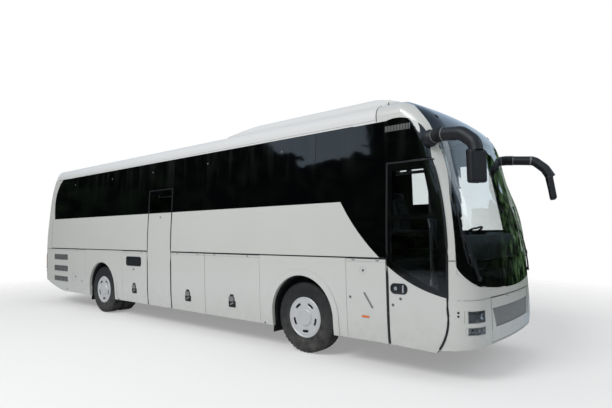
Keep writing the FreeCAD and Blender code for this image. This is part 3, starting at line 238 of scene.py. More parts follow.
for subpart in frame["record"]["subparts"]:
    node = NODES[subpart["node"]]
    node.data.materials.clear()
    node.data.materials.append(LOOKS[subpart["material_slot"]].material)


def tree_of(names):
    """The faces of several nodes in one tree, for rays and nearest points."""
    points, faces = [], []
    for name in names:
        mesh = NODES[name].data
        base = len(points)
        points += [vertex.co.copy() for vertex in mesh.vertices]
        faces += [[base + index for index in polygon.vertices] for polygon in mesh.polygons]
    return BVHTree.FromPolygons(points, faces)


def second_look(name, look, wanted):
    """Gives the faces of a node for which wanted is true another look."""
    mesh = NODES[name].data
    mesh.materials.append(EXTRA[look].material)
    index = len(mesh.materials) - 1
    for polygon in mesh.polygons:
        if wanted(mesh, polygon):
            polygon.material_index = index


GLUE_GAP = 0.0125
WALL_INSIDE = 1.235
INSIDE_FROM = 1.44


def black_print():
    """The walls, doors and frames are black where glass is bonded on them, and dark inside the coach."""
    glass = tree_of(("side_glass", "front_door_glass", "mid_door_glass", "windscreen", "rear_glass"))

    def behind_glass(mesh, polygon):
        corners = [mesh.vertices[index].co for index in polygon.vertices]
        return all(glass.find_nearest(corner)[3] < GLUE_GAP for corner in corners)

    def inner(_, polygon):
        centre = polygon.center
        faces_in = polygon.normal.y * centre.y < 0
        return abs(centre.y) < WALL_INSIDE and faces_in and centre.z > INSIDE_FROM

    def edge(_, polygon):
        return abs(polygon.normal.y) < 0.3 and polygon.center.z > 1.5

    def at_corner(mesh, polygon):
        return polygon.center.z < 2.85 and behind_glass(mesh, polygon)

    for name in ("side_wall_left", "side_wall_right"):
        second_look(name, "trim", inner)
        second_look(name, "frit", lambda mesh, polygon: behind_glass(mesh, polygon) or edge(mesh, polygon))
    for name in ("front_door", "mid_door"):
        second_look(name, "trim", inner)
        second_look(name, "frit", behind_glass)
    second_look("rear_wall", "frit", behind_glass)
    second_look("front_pillars", "frit", at_corner)
    second_look("windscreen_frame", "frit", lambda mesh, polygon: True)
    second_look("roof", "trim", lambda mesh, polygon: polygon.normal.z < -0.2)
    for name in ("front_door", "mid_door"):
        second_look(name, "frit", lambda mesh, polygon: abs(polygon.normal.y) < 0.35)
    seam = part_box("wheel_front_left")[1].x - 0.03
    second_look("side_glass", "pane_clear",
                lambda mesh, polygon: polygon.center.y > 0 and polygon.center.x > seam)


black_print()


# ------------------------------------------------------------------ shapes

def look_of(name):
    return (LOOKS.get(name) or EXTRA[name]).material


def piece(name, points, faces, look, body, smooth=30.0):
    """One mesh, in the row frame, that moves with a body."""
    mesh = bpy.data.meshes.new(name)
    mesh.from_pydata([tuple(point) for point in points], [], faces)
    mesh.validate()
    made = bmesh.new()
    made.from_mesh(mesh)
    bmesh.ops.remove_doubles(made, verts=made.verts, dist=0.00002)
    bmesh.ops.recalc_face_normals(made, faces=made.faces)
    made.to_mesh(mesh)
    made.free()
    mesh.shade_smooth()
    mesh.set_sharp_from_angle(angle=math.radians(smooth))
    mesh.materials.append(look_of(look))
    obj = bpy.data.objects.new(name, mesh)
    bpy.context.scene.collection.objects.link(obj)
    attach(obj, body)
    return obj


UP = Vector((0, 0, 1))


class Shape:
    """Points and faces gathered from several closed or open forms, to be one piece."""

    def __init__(self):
        self.points = []
        self.faces = []

    def rings(self, rings, cap_first=False, cap_last=False, closed=True):
        """Skins rings of equally many points, each joined to the next."""
        start = len(self.points)
        count = len(rings[0])
        for ring in rings:
            self.points += [Vector(point) for point in ring]
        spans = count if closed else count - 1
        for level in range(len(rings) - 1):
            low, high = start + level * count, start + (level + 1) * count
            for step in range(spans):
                after = (step + 1) % count
                self.faces.append((low + step, low + after, high + after, high + step))
        if cap_first:
            self.faces.append(tuple(range(start, start + count))[::-1])
        if cap_last:
            last = start + (len(rings) - 1) * count
            self.faces.append(tuple(range(last, last + count)))
        return self

    def tube(self, path, radii, sides=12, caps=True, flat=1.0):
        """A round or flattened tube along a path, its radius given for each point or once."""
        path = [Vector(point) for point in path]
        if not hasattr(radii, "__len__"):
            radii = [radii] * len(path)
        rings = []
        for index, (point, radius) in enumerate(zip(path, radii)):
            ahead = (path[min(index + 1, len(path) - 1)] - path[max(index - 1, 0)]).normalized()
            side = ahead.cross(UP)
            side = side.normalized() if side.length > 1e-4 else Vector((0, 1, 0))
            over = side.cross(ahead).normalized()
            ring = []
            for step in range(sides):
                turn = 2 * math.pi * step / sides
                ring.append(point + side * math.cos(turn) * radius * flat + over * math.sin(turn) * radius)
            rings.append(ring)
        return self.rings(rings, caps, caps)

    def lathe(self, centre, axis, profile, steps):
        """A surface turned about an axis; the profile gives the offset along it and the radius."""
        axis = Vector(axis).normalized()
        first = (axis.orthogonal() if abs(axis.z) > 0.9 else UP.cross(axis)).normalized()
        second = axis.cross(first)
        rings = []
        for along, radius in profile:
            ring = []
            for step in range(steps):
                turn = 2 * math.pi * step / steps
                outward = first * math.cos(turn) + second * math.sin(turn)
                ring.append(Vector(centre) + axis * along + outward * radius)
            rings.append(ring)
        return self.rings(rings)

    def block(self, low, high, round_by=0.0):
        """A box with its corners cut back a little all round."""
        low, high = Vector(low), Vector(high)
        rings = []
        cut = min(round_by, (high - low).x / 2.01, (high - low).y / 2.01, (high - low).z / 2.01)
        for level, inset in ((low.z, cut), (low.z + cut, 0.0), (high.z - cut, 0.0), (high.z, cut)):
            corner = max(cut - inset * 0.5, 1e-4)
            ring = rounded(low.x + inset, high.x - inset, low.y + inset, high.y - inset, corner, 2)
            rings.append([Vector((u, v, level)) for u, v in ring])
        return self.rings(rings, True, True)

    def made(self, name, look, body, smooth=30.0, slot=None):
        return piece(name, self.points, self.faces, look, body, smooth)


def rounded(u0, u1, v0, v1, radius, steps=5):
    """The outline of a rectangle with rounded corners, the same number of points for any size."""
    radius = min(radius, (u1 - u0) / 2 - 1e-5, (v1 - v0) / 2 - 1e-5)
    points = []
    for centre_u, centre_v, start in ((u1 - radius, v1 - radius, 0.0), (u0 + radius, v1 - radius, 0.5),
                                      (u0 + radius, v0 + radius, 1.0), (u1 - radius, v0 + radius, 1.5)):
        for step in range(steps + 1):
            turn = math.pi * (start + 0.5 * step / steps)
            points.append((centre_u + radius * math.cos(turn), centre_v + radius * math.sin(turn)))
    return points


def outline(half, inset, radius, steps=5):
    """A rectangle with rounded corners about the origin, drawn in by an inset."""
    return rounded(inset - half[0], half[0] - inset, inset - half[1], half[1] - inset, radius, steps)


def arc(start, middle, end, steps):
    """Points along the circle through three points of a plane."""
    (ax, ay), (bx, by), (cx, cy) = start, middle, end
    double = 2 * (ax * (by - cy) + bx * (cy - ay) + cx * (ay - by))
    sa, sb, sc = ax * ax + ay * ay, bx * bx + by * by, cx * cx + cy * cy
    ox = (sa * (by - cy) + sb * (cy - ay) + sc * (ay - by)) / double
    oy = (sa * (cx - bx) + sb * (ax - cx) + sc * (bx - ax)) / double
    radius = math.hypot(ax - ox, ay - oy)
    first, mid, last = (math.atan2(y - oy, x - ox) for x, y in (start, middle, end))
    while mid < first:
        mid += 2 * math.pi
    while last < first:
        last += 2 * math.pi
    if mid > last:
        last -= 2 * math.pi
    return [(ox + radius * math.cos(first + (last - first) * step / steps),
             oy + radius * math.sin(first + (last - first) * step / steps)) for step in range(steps + 1)]


def smooth_path(corners, steps=8):
    """A smooth line through points (Catmull-Rom)."""
    corners = [Vector(corner) for corner in corners]
    line = [corners[0] * 2 - corners[1]] + corners + [corners[-1] * 2 - corners[-2]]
    points = []
    for a, b, c, d in zip(line, line[1:], line[2:], line[3:]):
        for step in range(steps):
            t = step / steps
            points.append(0.5 * ((2 * b) + (c - a) * t + (2 * a - 5 * b + 4 * c - d) * t * t
                                 + (3 * b - 3 * c + d - a) * t ** 3))
    return points + [corners[-1]]


class Skin:
    """The outer face of the coach's body, found by rays from outside."""

    DIRECTIONS = {
        "right": Vector((0, 1, 0)), "left": Vector((0, -1, 0)), "nose": Vector((-1, 0, 0)),
        "tail": Vector((1, 0, 0)), "top": Vector((0, 0, -1)),
    }

    def __init__(self, names):
        self.tree = tree_of(names)

    def spot(self, face, u, v):
        """The first point met on a face: u and v are along and up on a side, across and up on an end."""
        inward = self.DIRECTIONS[face]
        if face in ("left", "right"):
            start = Vector((u, 0, v)) - inward * 3.0
        elif face == "top":
            start = Vector((u, v, 6.0))
        else:
            start = Vector((0, u, v)) - inward * 9.0
        hit, normal, _, _ = self.tree.ray_cast(start, inward)
        return (hit, normal) if hit is not None else (None, None)

    def at(self, face, u, v, proud=0.0, spread=0.014):
        """A point that stands proud of the outermost surface near u and v, so that no seam swallows it."""
        inward = self.DIRECTIONS[face]
        best, facing = None, None
        around = ((1, 1), (-1, 1), (1, -1), (-1, -1)) if spread else ()
        for du, dv in ((0, 0), *((spread * s, spread * t) for s, t in around)):
            hit, normal = self.spot(face, u + du, v + dv)
            if hit is not None and (best is None or hit.dot(inward) < best.dot(inward) - 0.0005):
                best, facing = hit, normal
        if best is None:
            raise RuntimeError("nothing to stand on at %s %.3f %.3f" % (face, u, v))
        if face in ("left", "right"):
            point = Vector((u, best.y, v))
        elif face == "top":
            point = Vector((u, v, best.z))
        else:
            point = Vector((best.x, u, v))
        out = facing if facing.dot(inward) < 0 else -facing
        if -out.dot(inward) < 0.5:
            out = -inward
        return point + out * proud


SKIN = Skin((
    "side_wall_left", "side_wall_right", "side_glass", "skirts", "front_door", "front_door_glass",
    "mid_door", "mid_door_glass", "front_pillars", "front_cap", "windscreen", "windscreen_frame",
    "front_panel", "front_bumper", "headlamps", "grille", "front_lid", "rear_wall", "rear_glass",
    "rear_bumper", "tail_lamps", "engine_lid", "roof", "roof_pod",
) + tuple(name for name in NODES if "_flap_" in name))

PLATE = ((0.0, -0.003), (0.0, 0.003), (0.003, 0.006))
RING = ((0.0, -0.003), (0.0, 0.004), (0.003, 0.007), (0.009, 0.007), (0.012, 0.004), (0.012, -0.003))


class Trim(Shape):
    """A form that lies on the outer skin of the coach."""

    def relief(self, face, centre, half, radius, profile=PLATE, cap=True, lean=0.0, spread=0.014):
        """A plate or a ring with rounded corners; each step of the profile is an inset and a stand."""
        turn = Matrix.Rotation(lean, 2)
        rings = []
        for inset, proud in profile:
            ring = []
            for point in outline(half, inset, max(radius - inset, 0.001)):
                u, v = turn @ Vector(point)
                ring.append(SKIN.at(face, centre[0] + u, centre[1] + v, proud, spread))
            rings.append(ring)
        return self.rings(rings, cap_last=cap)

    def slab(self, face, us, vs, outer, inner):
        """A sheet that follows the skin, from its stand outer to inner; vs gives low and high for each u."""
        rings = []
        for u, (low, high) in zip(us, vs):
            levels = [low + (high - low) * step / 8 for step in range(9)]
            ring = [SKIN.at(face, u, v, outer, 0) for v in levels]
            ring += [SKIN.at(face, u, v, inner, 0) for v in reversed(levels)]
            rings.append(ring)
        return self.rings(rings, True, True)

    def bead(self, face, points, radius, closed=False, sides=8, sink=0.35, spread=0.014):
        """A round strip along a line on the skin."""
        path = [SKIN.at(face, u, v, radius * (1 - 2 * sink), spread) for u, v in points]
        if closed:
            path = path + path[:2]
        return self.tube(path, radius, sides, not closed)

    def seam(self, face, points, radius):
        """A thin strip right on the skin, which sinks into joints with it."""
        return self.bead(face, points, radius, sides=6, spread=0)

    def stud(self, face, u, v, profile, steps, spread=0):
        """A round head on the skin; its profile is turned about the way out."""
        return self.lathe(SKIN.at(face, u, v, 0.0, spread), -Skin.DIRECTIONS[face], profile, steps)


def fitting(name, look, body, face, plates, slot=None, spread=0.014):
    """One piece of several reliefs, each with its centre, half sizes, corner radius and profile."""
    shape = Trim()
    for plate in plates:
        shape.relief(face, *plate, spread=spread)
    return shape.made(name, look, body, slot=slot)


def line(start, end, steps=8):
    """Evenly spaced points between two pairs."""
    return [(start[0] + (end[0] - start[0]) * step / steps, start[1] + (end[1] - start[1]) * step / steps)
            for step in range(steps + 1)]


# Places worked out from the frame, in metres.
def middle(name, axis):
    low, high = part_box(name)
    return (low[axis] + high[axis]) / 2


FRONT_AXLE = middle("tyre_front_right", 0)
REAR_AXLE = middle("tyres_rear_right", 0)
AXLE_LEVEL = middle("tyre_front_right", 2)
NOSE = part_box("front_lid")[1].x
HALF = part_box("side_glass")[1].y
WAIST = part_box("service_flap_right")[1].z + 0.008
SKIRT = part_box("service_flap_right")[0].z
BAND_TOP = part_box("roof")[0].z
DOOR_LOW, DOOR_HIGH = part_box("front_door")
MID_LOW, MID_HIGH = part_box("mid_door")
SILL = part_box("mid_door_glass")[0].z
DOOR_HEAD = DOOR_HIGH.z


# ------------------------------------------------------------------ wheels

TREAD_STEPS = 144


def tyre(name, centres, side, body):
    """Road tyres with grooves round the tread, blocks on the shoulders and ribs on the sidewalls."""
    shape = Shape()
    half, outer, bead = TYRE_HALF, AXLE_LEVEL, 0.286
    side_wall = [(-half + 0.030, bead), (-half + 0.018, bead + 0.004), (-half + 0.016, bead + 0.020),
                 (-half + 0.004, bead + 0.060), (-half, bead + 0.100), (-half + 0.0015, bead + 0.104),
                 (-half + 0.0015, bead + 0.116), (-half, bead + 0.120), (-half + 0.004, outer - 0.070),
                 (-half + 0.009, outer - 0.045), (-half + 0.017, outer - 0.020),
                 (-half + 0.034, outer - 0.002)]
    grooves = []
    for middle_line in (-0.066, -0.022, 0.022, 0.066):
        grooves += [(middle_line - 0.007, outer), (middle_line - 0.005, outer - 0.014),
                    (middle_line + 0.005, outer - 0.014), (middle_line + 0.007, outer)]
    profile = side_wall + grooves + [(-along, radius) for along, radius in reversed(side_wall)]
    for y in centres:
        rings = []
        for along, radius in profile:
            ring = []
            for step in range(TREAD_STEPS):
                turn = 2 * math.pi * step / TREAD_STEPS
                shoulder = abs(along) > 0.095 and radius > outer - 0.05
                block = -0.009 if shoulder and step % 3 == 0 else 0.0
                reach = radius + block
                ring.append((middle_x(body) + reach * math.sin(turn), y + side * along,
                             AXLE_LEVEL + reach * math.cos(turn)))
            rings.append(ring)
        shape.rings(rings)
    return shape.made(name, "tyre", body, 35)


def middle_x(body):
    return FRONT_AXLE if body.startswith("front") else REAR_AXLE


SLOT_TURNS = [math.radians(58 - 72 * count) for count in range(5)]
SLOT_HALF = math.radians(15)
COVER_STEPS = 120
NUT_CIRCLE = 0.1675
TYRE_HALF = 0.145


def wheel_cover(name, y, side, body):
    """A convex silver cover with a raised middle and five curved slots."""
    x = middle_x(body)
    profile = ((0.298, 0.118), (0.300, 0.127), (0.292, 0.133), (0.284, 0.131), (0.276, 0.124), (0.262, 0.127),
               (0.240, 0.128), (0.224, 0.1275), (0.208, 0.1265), (0.190, 0.125), (0.165, 0.1225),
               (0.138, 0.1205), (0.128, 0.1215), (0.122, 0.132), (0.114, 0.138), (0.104, 0.1385),
               (0.098, 0.135), (0.070, 0.137), (0.035, 0.138), (0.004, 0.1385))
    slot_low, slot_high = 0.190, 0.224
    points, faces = [], []
    for radius, out in profile:
        for step in range(COVER_STEPS):
            turn = 2 * math.pi * step / COVER_STEPS
            points.append((x + radius * math.cos(turn), y + side * out, AXLE_LEVEL + radius * math.sin(turn)))
    for ring in range(len(profile) - 1):
        for step in range(COVER_STEPS):
            turn = 2 * math.pi * (step + 0.5) / COVER_STEPS
            open_here = any(abs((turn - slot + math.pi) % (2 * math.pi) - math.pi) < SLOT_HALF
                            for slot in SLOT_TURNS)
            in_slot = slot_low - 0.001 < profile[ring + 1][0] and profile[ring][0] < slot_high + 0.001
            if open_here and in_slot:
                continue
            after = (step + 1) % COVER_STEPS
            low, high = ring * COVER_STEPS, (ring + 1) * COVER_STEPS
            faces.append((low + step, low + after, high + after, high + step))
    last = (len(profile) - 1) * COVER_STEPS
    faces.append(tuple(range(last, last + COVER_STEPS)))
    cover = piece(name, points, faces, "wheel", body, 35)
    skin = cover.modifiers.new("sheet", "SOLIDIFY")
    skin.thickness = 0.004
    skin.offset = 0.0
    return cover


def rim(name, centres, y_out, side, body):
    """The steel rims behind the cover, with their discs, and the dark drum."""
    shape = Shape()
    x = middle_x(body)
    axis = (0, side, 0)
    for y, facing in centres:
        turned = (0, side * facing, 0)
        shape.lathe((x, y, AXLE_LEVEL), turned, (
            (-0.122, 0.300), (-0.126, 0.288), (-0.115, 0.282), (-0.05, 0.268), (0.03, 0.262), (0.085, 0.270),
            (0.112, 0.283), (0.119, 0.290), (0.112, 0.274), (0.075, 0.258), (0.05, 0.21), (0.042, 0.14),
            (0.040, 0.070), (0.030, 0.070), (0.030, 0.14), (0.038, 0.21), (0.055, 0.250), (0.02, 0.254),
            (-0.05, 0.260), (-0.10, 0.274), (-0.122, 0.300)), 64)
    shape.lathe((x, y_out, AXLE_LEVEL), axis,
                ((0.034, 0.052), (0.080, 0.052), (0.086, 0.046), (0.086, 0.001)), 32)
    for count in range(10):
        turn = 2 * math.pi * (count + 0.5) / 10
        nut = (x + NUT_CIRCLE * math.cos(turn), y_out, AXLE_LEVEL + NUT_CIRCLE * math.sin(turn))
        shape.lathe(nut, axis,
                    ((0.040, 0.018), (0.046, 0.018), (0.046, 0.014), (0.070, 0.014), (0.072, 0.001)), 6)
    return shape.made(name, "frame_steel", body, 35)


def wheels():
    for label, side in SIDES.items():
        low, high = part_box("tyre_front_" + label)
        front = side * (abs(low.y) + abs(high.y)) / 2
        low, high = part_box("tyres_rear_" + label)
        outer = side * (max(abs(low.y), abs(high.y)) - TYRE_HALF)
        inner = side * (min(abs(low.y), abs(high.y)) + TYRE_HALF)
        body = "front_wheel_" + label
        road = tyre("tyre_front_%s_look" % label, (front,), side, body)
        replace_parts(road, "tyre_front_" + label)
        cover = wheel_cover("wheel_cover_front_" + label, front, side, body)
        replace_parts(cover, "wheel_front_" + label)
        rim("rim_front_" + label, ((front, 1),), front, side, body)
        body = "rear_wheels_" + label
        road = tyre("tyres_rear_%s_look" % label, (outer, inner), side, body)
        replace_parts(road, "tyres_rear_" + label)
        cover = wheel_cover("wheel_cover_rear_" + label, outer, side, body)
        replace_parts(cover, "wheels_rear_" + label)
        rim("rim_rear_" + label, ((outer, -1), (inner, 1)), outer, side, body)


wheels()


# ------------------------------------------------------------------ sides

FLAPS = [name for name in NODES if "_flap_" in name]


def side_of(name):
    return "left" if name.endswith("left") else "right"


def flap_edges():
    """A light rolled edge along the top of each flap, below the dark waist seal, which is partly painted
    shadow of the waist groove.
    """
    for name in FLAPS:
        low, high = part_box(name)
        level = WAIST - 0.036
        edge = Trim().bead(side_of(name), line((low.x + 0.006, level), (high.x - 0.006, level)), 0.0055)
        edge.made(name + "_edge", "paint", name)


def waist_seals():
    # A dark rubber strip on the wall above the flap gap, wider than the gap: a seal, and partly painted
    # shadow of the waist groove.
    for label in SIDES:
        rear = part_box("side_wall_" + label)[0].x + 0.01
        spans = ((rear, MID_LOW.x - 0.006), (MID_HIGH.x + 0.006, DOOR_LOW.x - 0.010))
        if label == "left":
            spans = ((rear, DOOR_HIGH.x - 0.06),)
        shape = Trim()
        for start, end in spans:
            centre = ((start + end) / 2, WAIST + 0.008)
            shape.relief(label, centre, ((end - start) / 2, 0.009), 0.002,
                         ((0.0, -0.004), (0.0, 0.002), (0.002, 0.004)))
        shape.made("waist_seal_and_groove_shadow_" + label, "rubber", "coach")


def latch(name, x, z):
    """A dark latch box under a light rounded cover, with a small bar over both."""
    label = side_of(name)
    fitting(name + "_latch", "rubber", name, label, (
        ((x + 0.008, z - 0.052), (0.084, 0.052), 0.014,
         ((0.0, -0.003), (0.0, 0.008), (0.004, 0.012), (0.014, 0.012), (0.018, 0.004))),
        ((x + 0.004, z + 0.098), (0.046, 0.011), 0.008, ((0.0, -0.003), (0.0, 0.006), (0.003, 0.008))),
        ((x - 0.004, z + 0.030), (0.074, 0.056), 0.050, ((0.0, -0.003), (0.0, 0.004), (0.003, 0.006)))))
    fitting(name + "_lever", "slat", name, label, (
        ((x - 0.004, z + 0.030), (0.062, 0.044), 0.042,
         ((0.0, 0.002), (0.0, 0.009), (0.006, 0.013), (0.016, 0.014))),
        ((x - 0.002, z - 0.048), (0.050, 0.013), 0.006,
         ((0.0, 0.002), (0.0, 0.008), (0.004, 0.010)), True, math.radians(24))))


def key(shape, label, x, z):
    """A round lock with its plug."""
    shape.stud(label, x, z, ((-0.003, 0.019), (0.003, 0.019), (0.006, 0.015), (0.006, 0.010), (0.002, 0.009),
                             (0.004, 0.007), (0.004, 0.0008)), 24, spread=0.014)
    centre = SKIN.at(label, x, z, 0.0)
    shape.block(centre + Vector((-0.0012, 0.0035 * SIDES[label] - 0.001, -0.006)),
                centre + Vector((0.0012, 0.0035 * SIDES[label] + 0.001, 0.006)))


def plug_ring(shape, label, x, z, radius):
    """The faint round seam about a lock."""
    turns = [2 * math.pi * step / 24 for step in range(24)]
    circle = [(x + radius * math.cos(turn), z + radius * math.sin(turn)) for turn in turns]
    shape.bead(label, circle, 0.0012, True, 6)


LOUVRES = ((1.2265, 0.0815), (0.9345, 0.0835), (0.6665, 0.0735))
LOUVRE_SLATS = 6
BAR = ((-0.004, 0.001), (0.004, 0.001), (0.004, 0.005), (-0.004, 0.005))


def louvres():
    """Three air inlets with grey slats in each radiator flap, with painted shade for their depth on a
    near-black plate behind the slats.
    """
    for label, side in SIDES.items():
        name = "radiator_flap_" + label
        x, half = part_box(name)[0].x + 0.8515, 0.4145
        frame_ring, back, slats = Trim(), Trim(), Trim()
        for z, tall in LOUVRES:
            frame_ring.relief(label, (x, z), (half, tall), 0.034, RING, False)
            # The near-black plate behind the slats is painted shade for the depth of the inlet.
            back.relief(label, (x, z), (half - 0.009, tall - 0.009), 0.028, ((0.0, -0.002), (0.0, 0.002)))
            count = LOUVRE_SLATS
            pitch = 2 * (tall - 0.014) / count
            for slat in range(count):
                level = z - tall + 0.014 + (slat + 0.5) * pitch
                ends = half - (0.030 if slat in (0, count - 1) else 0.014)
                tip, root = level - 0.20 * pitch, level + 0.22 * pitch
                rows = []
                for u in (x - ends, x + ends):
                    outer = SKIN.at(label, u, tip, 0.0065)
                    inner = SKIN.at(label, u, root, 0.0015)
                    over_inner, over_outer = inner + UP * 0.0022, outer + UP * 0.0032
                    rows.append([outer, inner, over_inner, over_outer])
                slats.rings(rows, True, True)
            for share in (-0.5, 0.0, 0.5):
                bar = x + share * 2 * half * 0.5
                rows = []
                for v in (z - tall + 0.012, z + tall - 0.012):
                    point = SKIN.at(label, bar, v, 0.0)
                    rows.append([point + Vector((dx, side * dy, 0)) for dx, dy in BAR])
                slats.rings(rows, True, True)
        frame_ring.made("louvre_frames_" + label, "paint", name)
        back.made("louvre_shade_backs_" + label, "shadow", name)
        slats.made("louvre_slats_" + label, "slat", name)


def flap_fittings():
    """Latches, locks and markers on the flaps of both sides."""
    for label in SIDES:
        for place, back, level in (("front_", 0.675, 0.649), ("rear_", 0.505, 0.645)):
            name = "luggage_flap_" + place + label
            latch(name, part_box(name)[1].x - back, level)
        low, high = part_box("heater_flap_" + label)
        latch("heater_flap_" + label, low.x + 0.491, 0.653)
        vent = Trim()
        x, z = low.x + 0.4735, 1.2215
        vent.relief(label, (x, z), (0.2935, 0.0995), 0.05,
                    ((0.0, -0.003), (0.0, 0.006), (0.005, 0.011), (0.018, 0.011), (0.024, 0.002)))
        for step in (-2, -1, 0, 1, 2):
            reach = 0.255 if abs(step) < 2 else 0.235
            vent.relief(label, (x, z + step * 0.031), (reach, 0.0075), 0.007,
                        ((0.0, 0.0), (0.001, 0.008), (0.004, 0.011)))
        vent.made("heater_vent_" + label, "rubber", "heater_flap_" + label)
        locks = Trim()
        key(locks, label, low.x + 0.473, 1.054)
        plug_ring(locks, label, low.x + 0.473, 1.054, 0.034)
        locks.made("heater_lock_" + label, "dull_metal", "heater_flap_" + label)
        name = "service_flap_" + label
        low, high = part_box(name)
        locks = Trim()
        key(locks, label, high.x - 0.347, 1.282)
        plug_ring(locks, label, high.x - 0.347, 1.282, 0.052)
        key(locks, label, low.x + 0.061, 0.913)
        locks.made("service_locks_" + label, "dull_metal", name)
        fitting("service_marker_" + label, "amber", name, label, (
            ((high.x - 0.3235, 0.669), (0.0575, 0.013), 0.005,
             ((0.0, -0.003), (0.0, 0.006), (0.003, 0.009))),))
        fitting("service_grip_" + label, "slat", name, label, (
            ((low.x + 0.350, 0.889), (0.012, 0.118), 0.010,
             ((0.0, -0.003), (0.0, 0.006), (0.004, 0.009)), True, math.radians(33)),))
    low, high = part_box("luggage_flap_mid_left")
    latch("luggage_flap_mid_left", (low.x + high.x) / 2, 0.649)


flap_edges()
waist_seals()
louvres()
flap_fittings()


# ------------------------------------------------------------------ doors

def door_front_edge():
    """The curved front edge of the front door, from its lower corner up to its head."""
    x = DOOR_HIGH.x + 0.004
    low = arc((x - 0.165, SKIRT - 0.020), (x - 0.040, SKIRT + 0.180), (x, SKIRT + 0.520), 8)
    high = arc((x + 0.012, WAIST - 0.060), (x - 0.020, SILL - 0.210), (x - 0.185, DOOR_HEAD + 0.008), 12)
    edge = low + line(low[-1], high[0], 4)[1:] + high[1:]
    return [(u - 0.010, v) for u, v in edge if SKIRT + 0.005 < v < DOOR_HEAD - 0.004]


def door_seals():
    """The rubber round both doors, down their edges and along their heads."""
    front = door_front_edge()
    foot, top, head = SKIRT + 0.01, DOOR_HEAD - 0.01, DOOR_HEAD - 0.012
    strips = {
        "front_door": (
            ([(x - 0.008, z) for x, z in front], 0.014),
            (line((DOOR_LOW.x + 0.013, foot), (DOOR_LOW.x + 0.013, top)), 0.014),
            (line((DOOR_LOW.x + 0.01, head), (front[-1][0] - 0.01, head)), 0.010)),
        "mid_door": (
            (line((MID_LOW.x + 0.011, foot), (MID_LOW.x + 0.011, top)), 0.010),
            (line((MID_HIGH.x - 0.011, foot), (MID_HIGH.x - 0.011, top)), 0.010),
            (line((MID_LOW.x + 0.01, head), (MID_HIGH.x - 0.01, head)), 0.008)),
    }
    for name, beads in strips.items():
        seal = Trim()
        for points, radius in beads:
            seal.bead("right", points, radius, sink=0.5)
        seal.made(name + "_seals", "rubber", name)


def front_door_fittings():
    """The recessed oval handle with its button and bar, the locks of both doors and the rails inside."""
    x, z = DOOR_LOW.x + 0.172, 1.0705
    fitting("door_handle_dish", "rubber", "front_door", "right", (
        ((x, z), (0.120, 0.0675), 0.060,
         ((0.0, -0.003), (0.0, 0.006), (0.005, 0.010), (0.012, 0.010), (0.022, 0.001))),))
    handle = Trim()
    handle.relief("right", (x + 0.062, z), (0.014, 0.050), 0.012,
                  ((0.0, 0.0), (0.0, 0.010), (0.004, 0.015)))
    handle.stud("right", x - 0.045, z, ((0.0, 0.024), (0.008, 0.024), (0.012, 0.020), (0.012, 0.001)), 28,
                spread=0.014)
    handle.made("door_handle_bar", "chrome", "front_door")
    lock = Trim()
    key(lock, "right", x + 0.02, z - 0.125)
    key(lock, "right", x - 0.09, z - 0.21)
    lock.made("front_door_lock", "dull_metal", "front_door")
    lock = Trim()
    key(lock, "right", (MID_LOW.x + MID_HIGH.x) / 2 + 0.024, 2.134)
    lock.made("mid_door_lock", "dull_metal", "mid_door")
    rail = Trim()
    bar_low, bar_high = DOOR_LOW.x + 0.09, DOOR_HIGH.x - 0.19
    for level in (1.965, 1.995):
        rail.tube([(bar_low, -HALF + 0.085, level), (bar_high, -HALF + 0.10, level)], 0.008, 10)
    post_x = DOOR_HIGH.x - 0.27
    rail.tube(smooth_path([(post_x, -HALF + 0.10, 1.06), (post_x + 0.01, -HALF + 0.15, 1.30),
                           (post_x + 0.01, -HALF + 0.15, 1.75), (post_x, -HALF + 0.10, 1.95)]), 0.015, 12)
    rail.made("door_rails", "dull_metal", "front_door")


door_seals()
front_door_fittings()


# ------------------------------------------------------------------ mirrors

MIRROR_ARMS = {
    # Points ahead of the nose, out from the centre plane and up, with the radius of the bend at each.
    "right": ((-0.578, 1.210, 2.945, 0), (-0.430, 1.268, 2.964, 0.150), (-0.135, 1.332, 2.928, 0.150),
              (0.018, 1.354, 2.800, 0.150), (0.040, 1.364, 2.690, 0)),
    "left": ((-0.578, 1.210, 2.920, 0), (-0.414, 1.262, 2.930, 0.150), (-0.020, 1.350, 2.896, 0.150),
             (0.130, 1.360, 2.760, 0.150), (0.210, 1.361, 2.620, 0)),
}
ARM_RADII = {"right": 0.080, "left": 0.071}


def arm_line(label):
    """The centre line of a mirror arm in steps of about 5 mm: straight runs with round bends."""
    corners = [(Vector((NOSE + x, SIDES[label] * y, z)), radius) for x, y, z, radius in MIRROR_ARMS[label]]
    knots = [corners[0][0]]
    for (before, _), (corner, radius), (after, _) in zip(corners, corners[1:], corners[2:]):
        back, ahead = (before - corner).normalized(), (after - corner).normalized()
        half_turn = (math.pi - back.angle(ahead)) / 2
        reach = radius * math.tan(half_turn)
        centre = corner + (back + ahead).normalized() * radius / math.cos(half_turn)
        start, end = corner + back * reach - centre, corner + ahead * reach - centre
        for step in range(13):
            knots.append(centre + start.slerp(end, step / 12) * start.length)
    knots.append(corners[-1][0])
    fine = []
    for first, second in zip(knots, knots[1:]):
        count = max(1, round((second - first).length / 0.005))
        fine += [first.lerp(second, step / count) for step in range(count)]
    return fine + [knots[-1]]


def stretch(path, start, end):
    """The part of a path between two distances along it."""
    run, kept = 0.0, []
    for first, second in zip(path, path[1:]):
        if start <= run <= end:
            kept.append(first)
        run += (second - first).length
    return kept


def mirror_glass_face(label):
    """Centre, outward direction and height of the flat back of a mirror head."""
    mesh = NODES["mirrors"].data
    side = SIDES[label]
    centre, facing, area = Vector(), Vector(), 0.0
    levels = []
    for polygon in mesh.polygons:
        if polygon.center.y * side > 1.2 and polygon.center.z < 2.70 and polygon.normal.x < -0.75:
            centre += polygon.center * polygon.area
            facing += polygon.normal * polygon.area
            area += polygon.area
            levels += [mesh.vertices[index].co.z for index in polygon.vertices]
    return centre / area, facing.normalized(), max(levels) - min(levels)


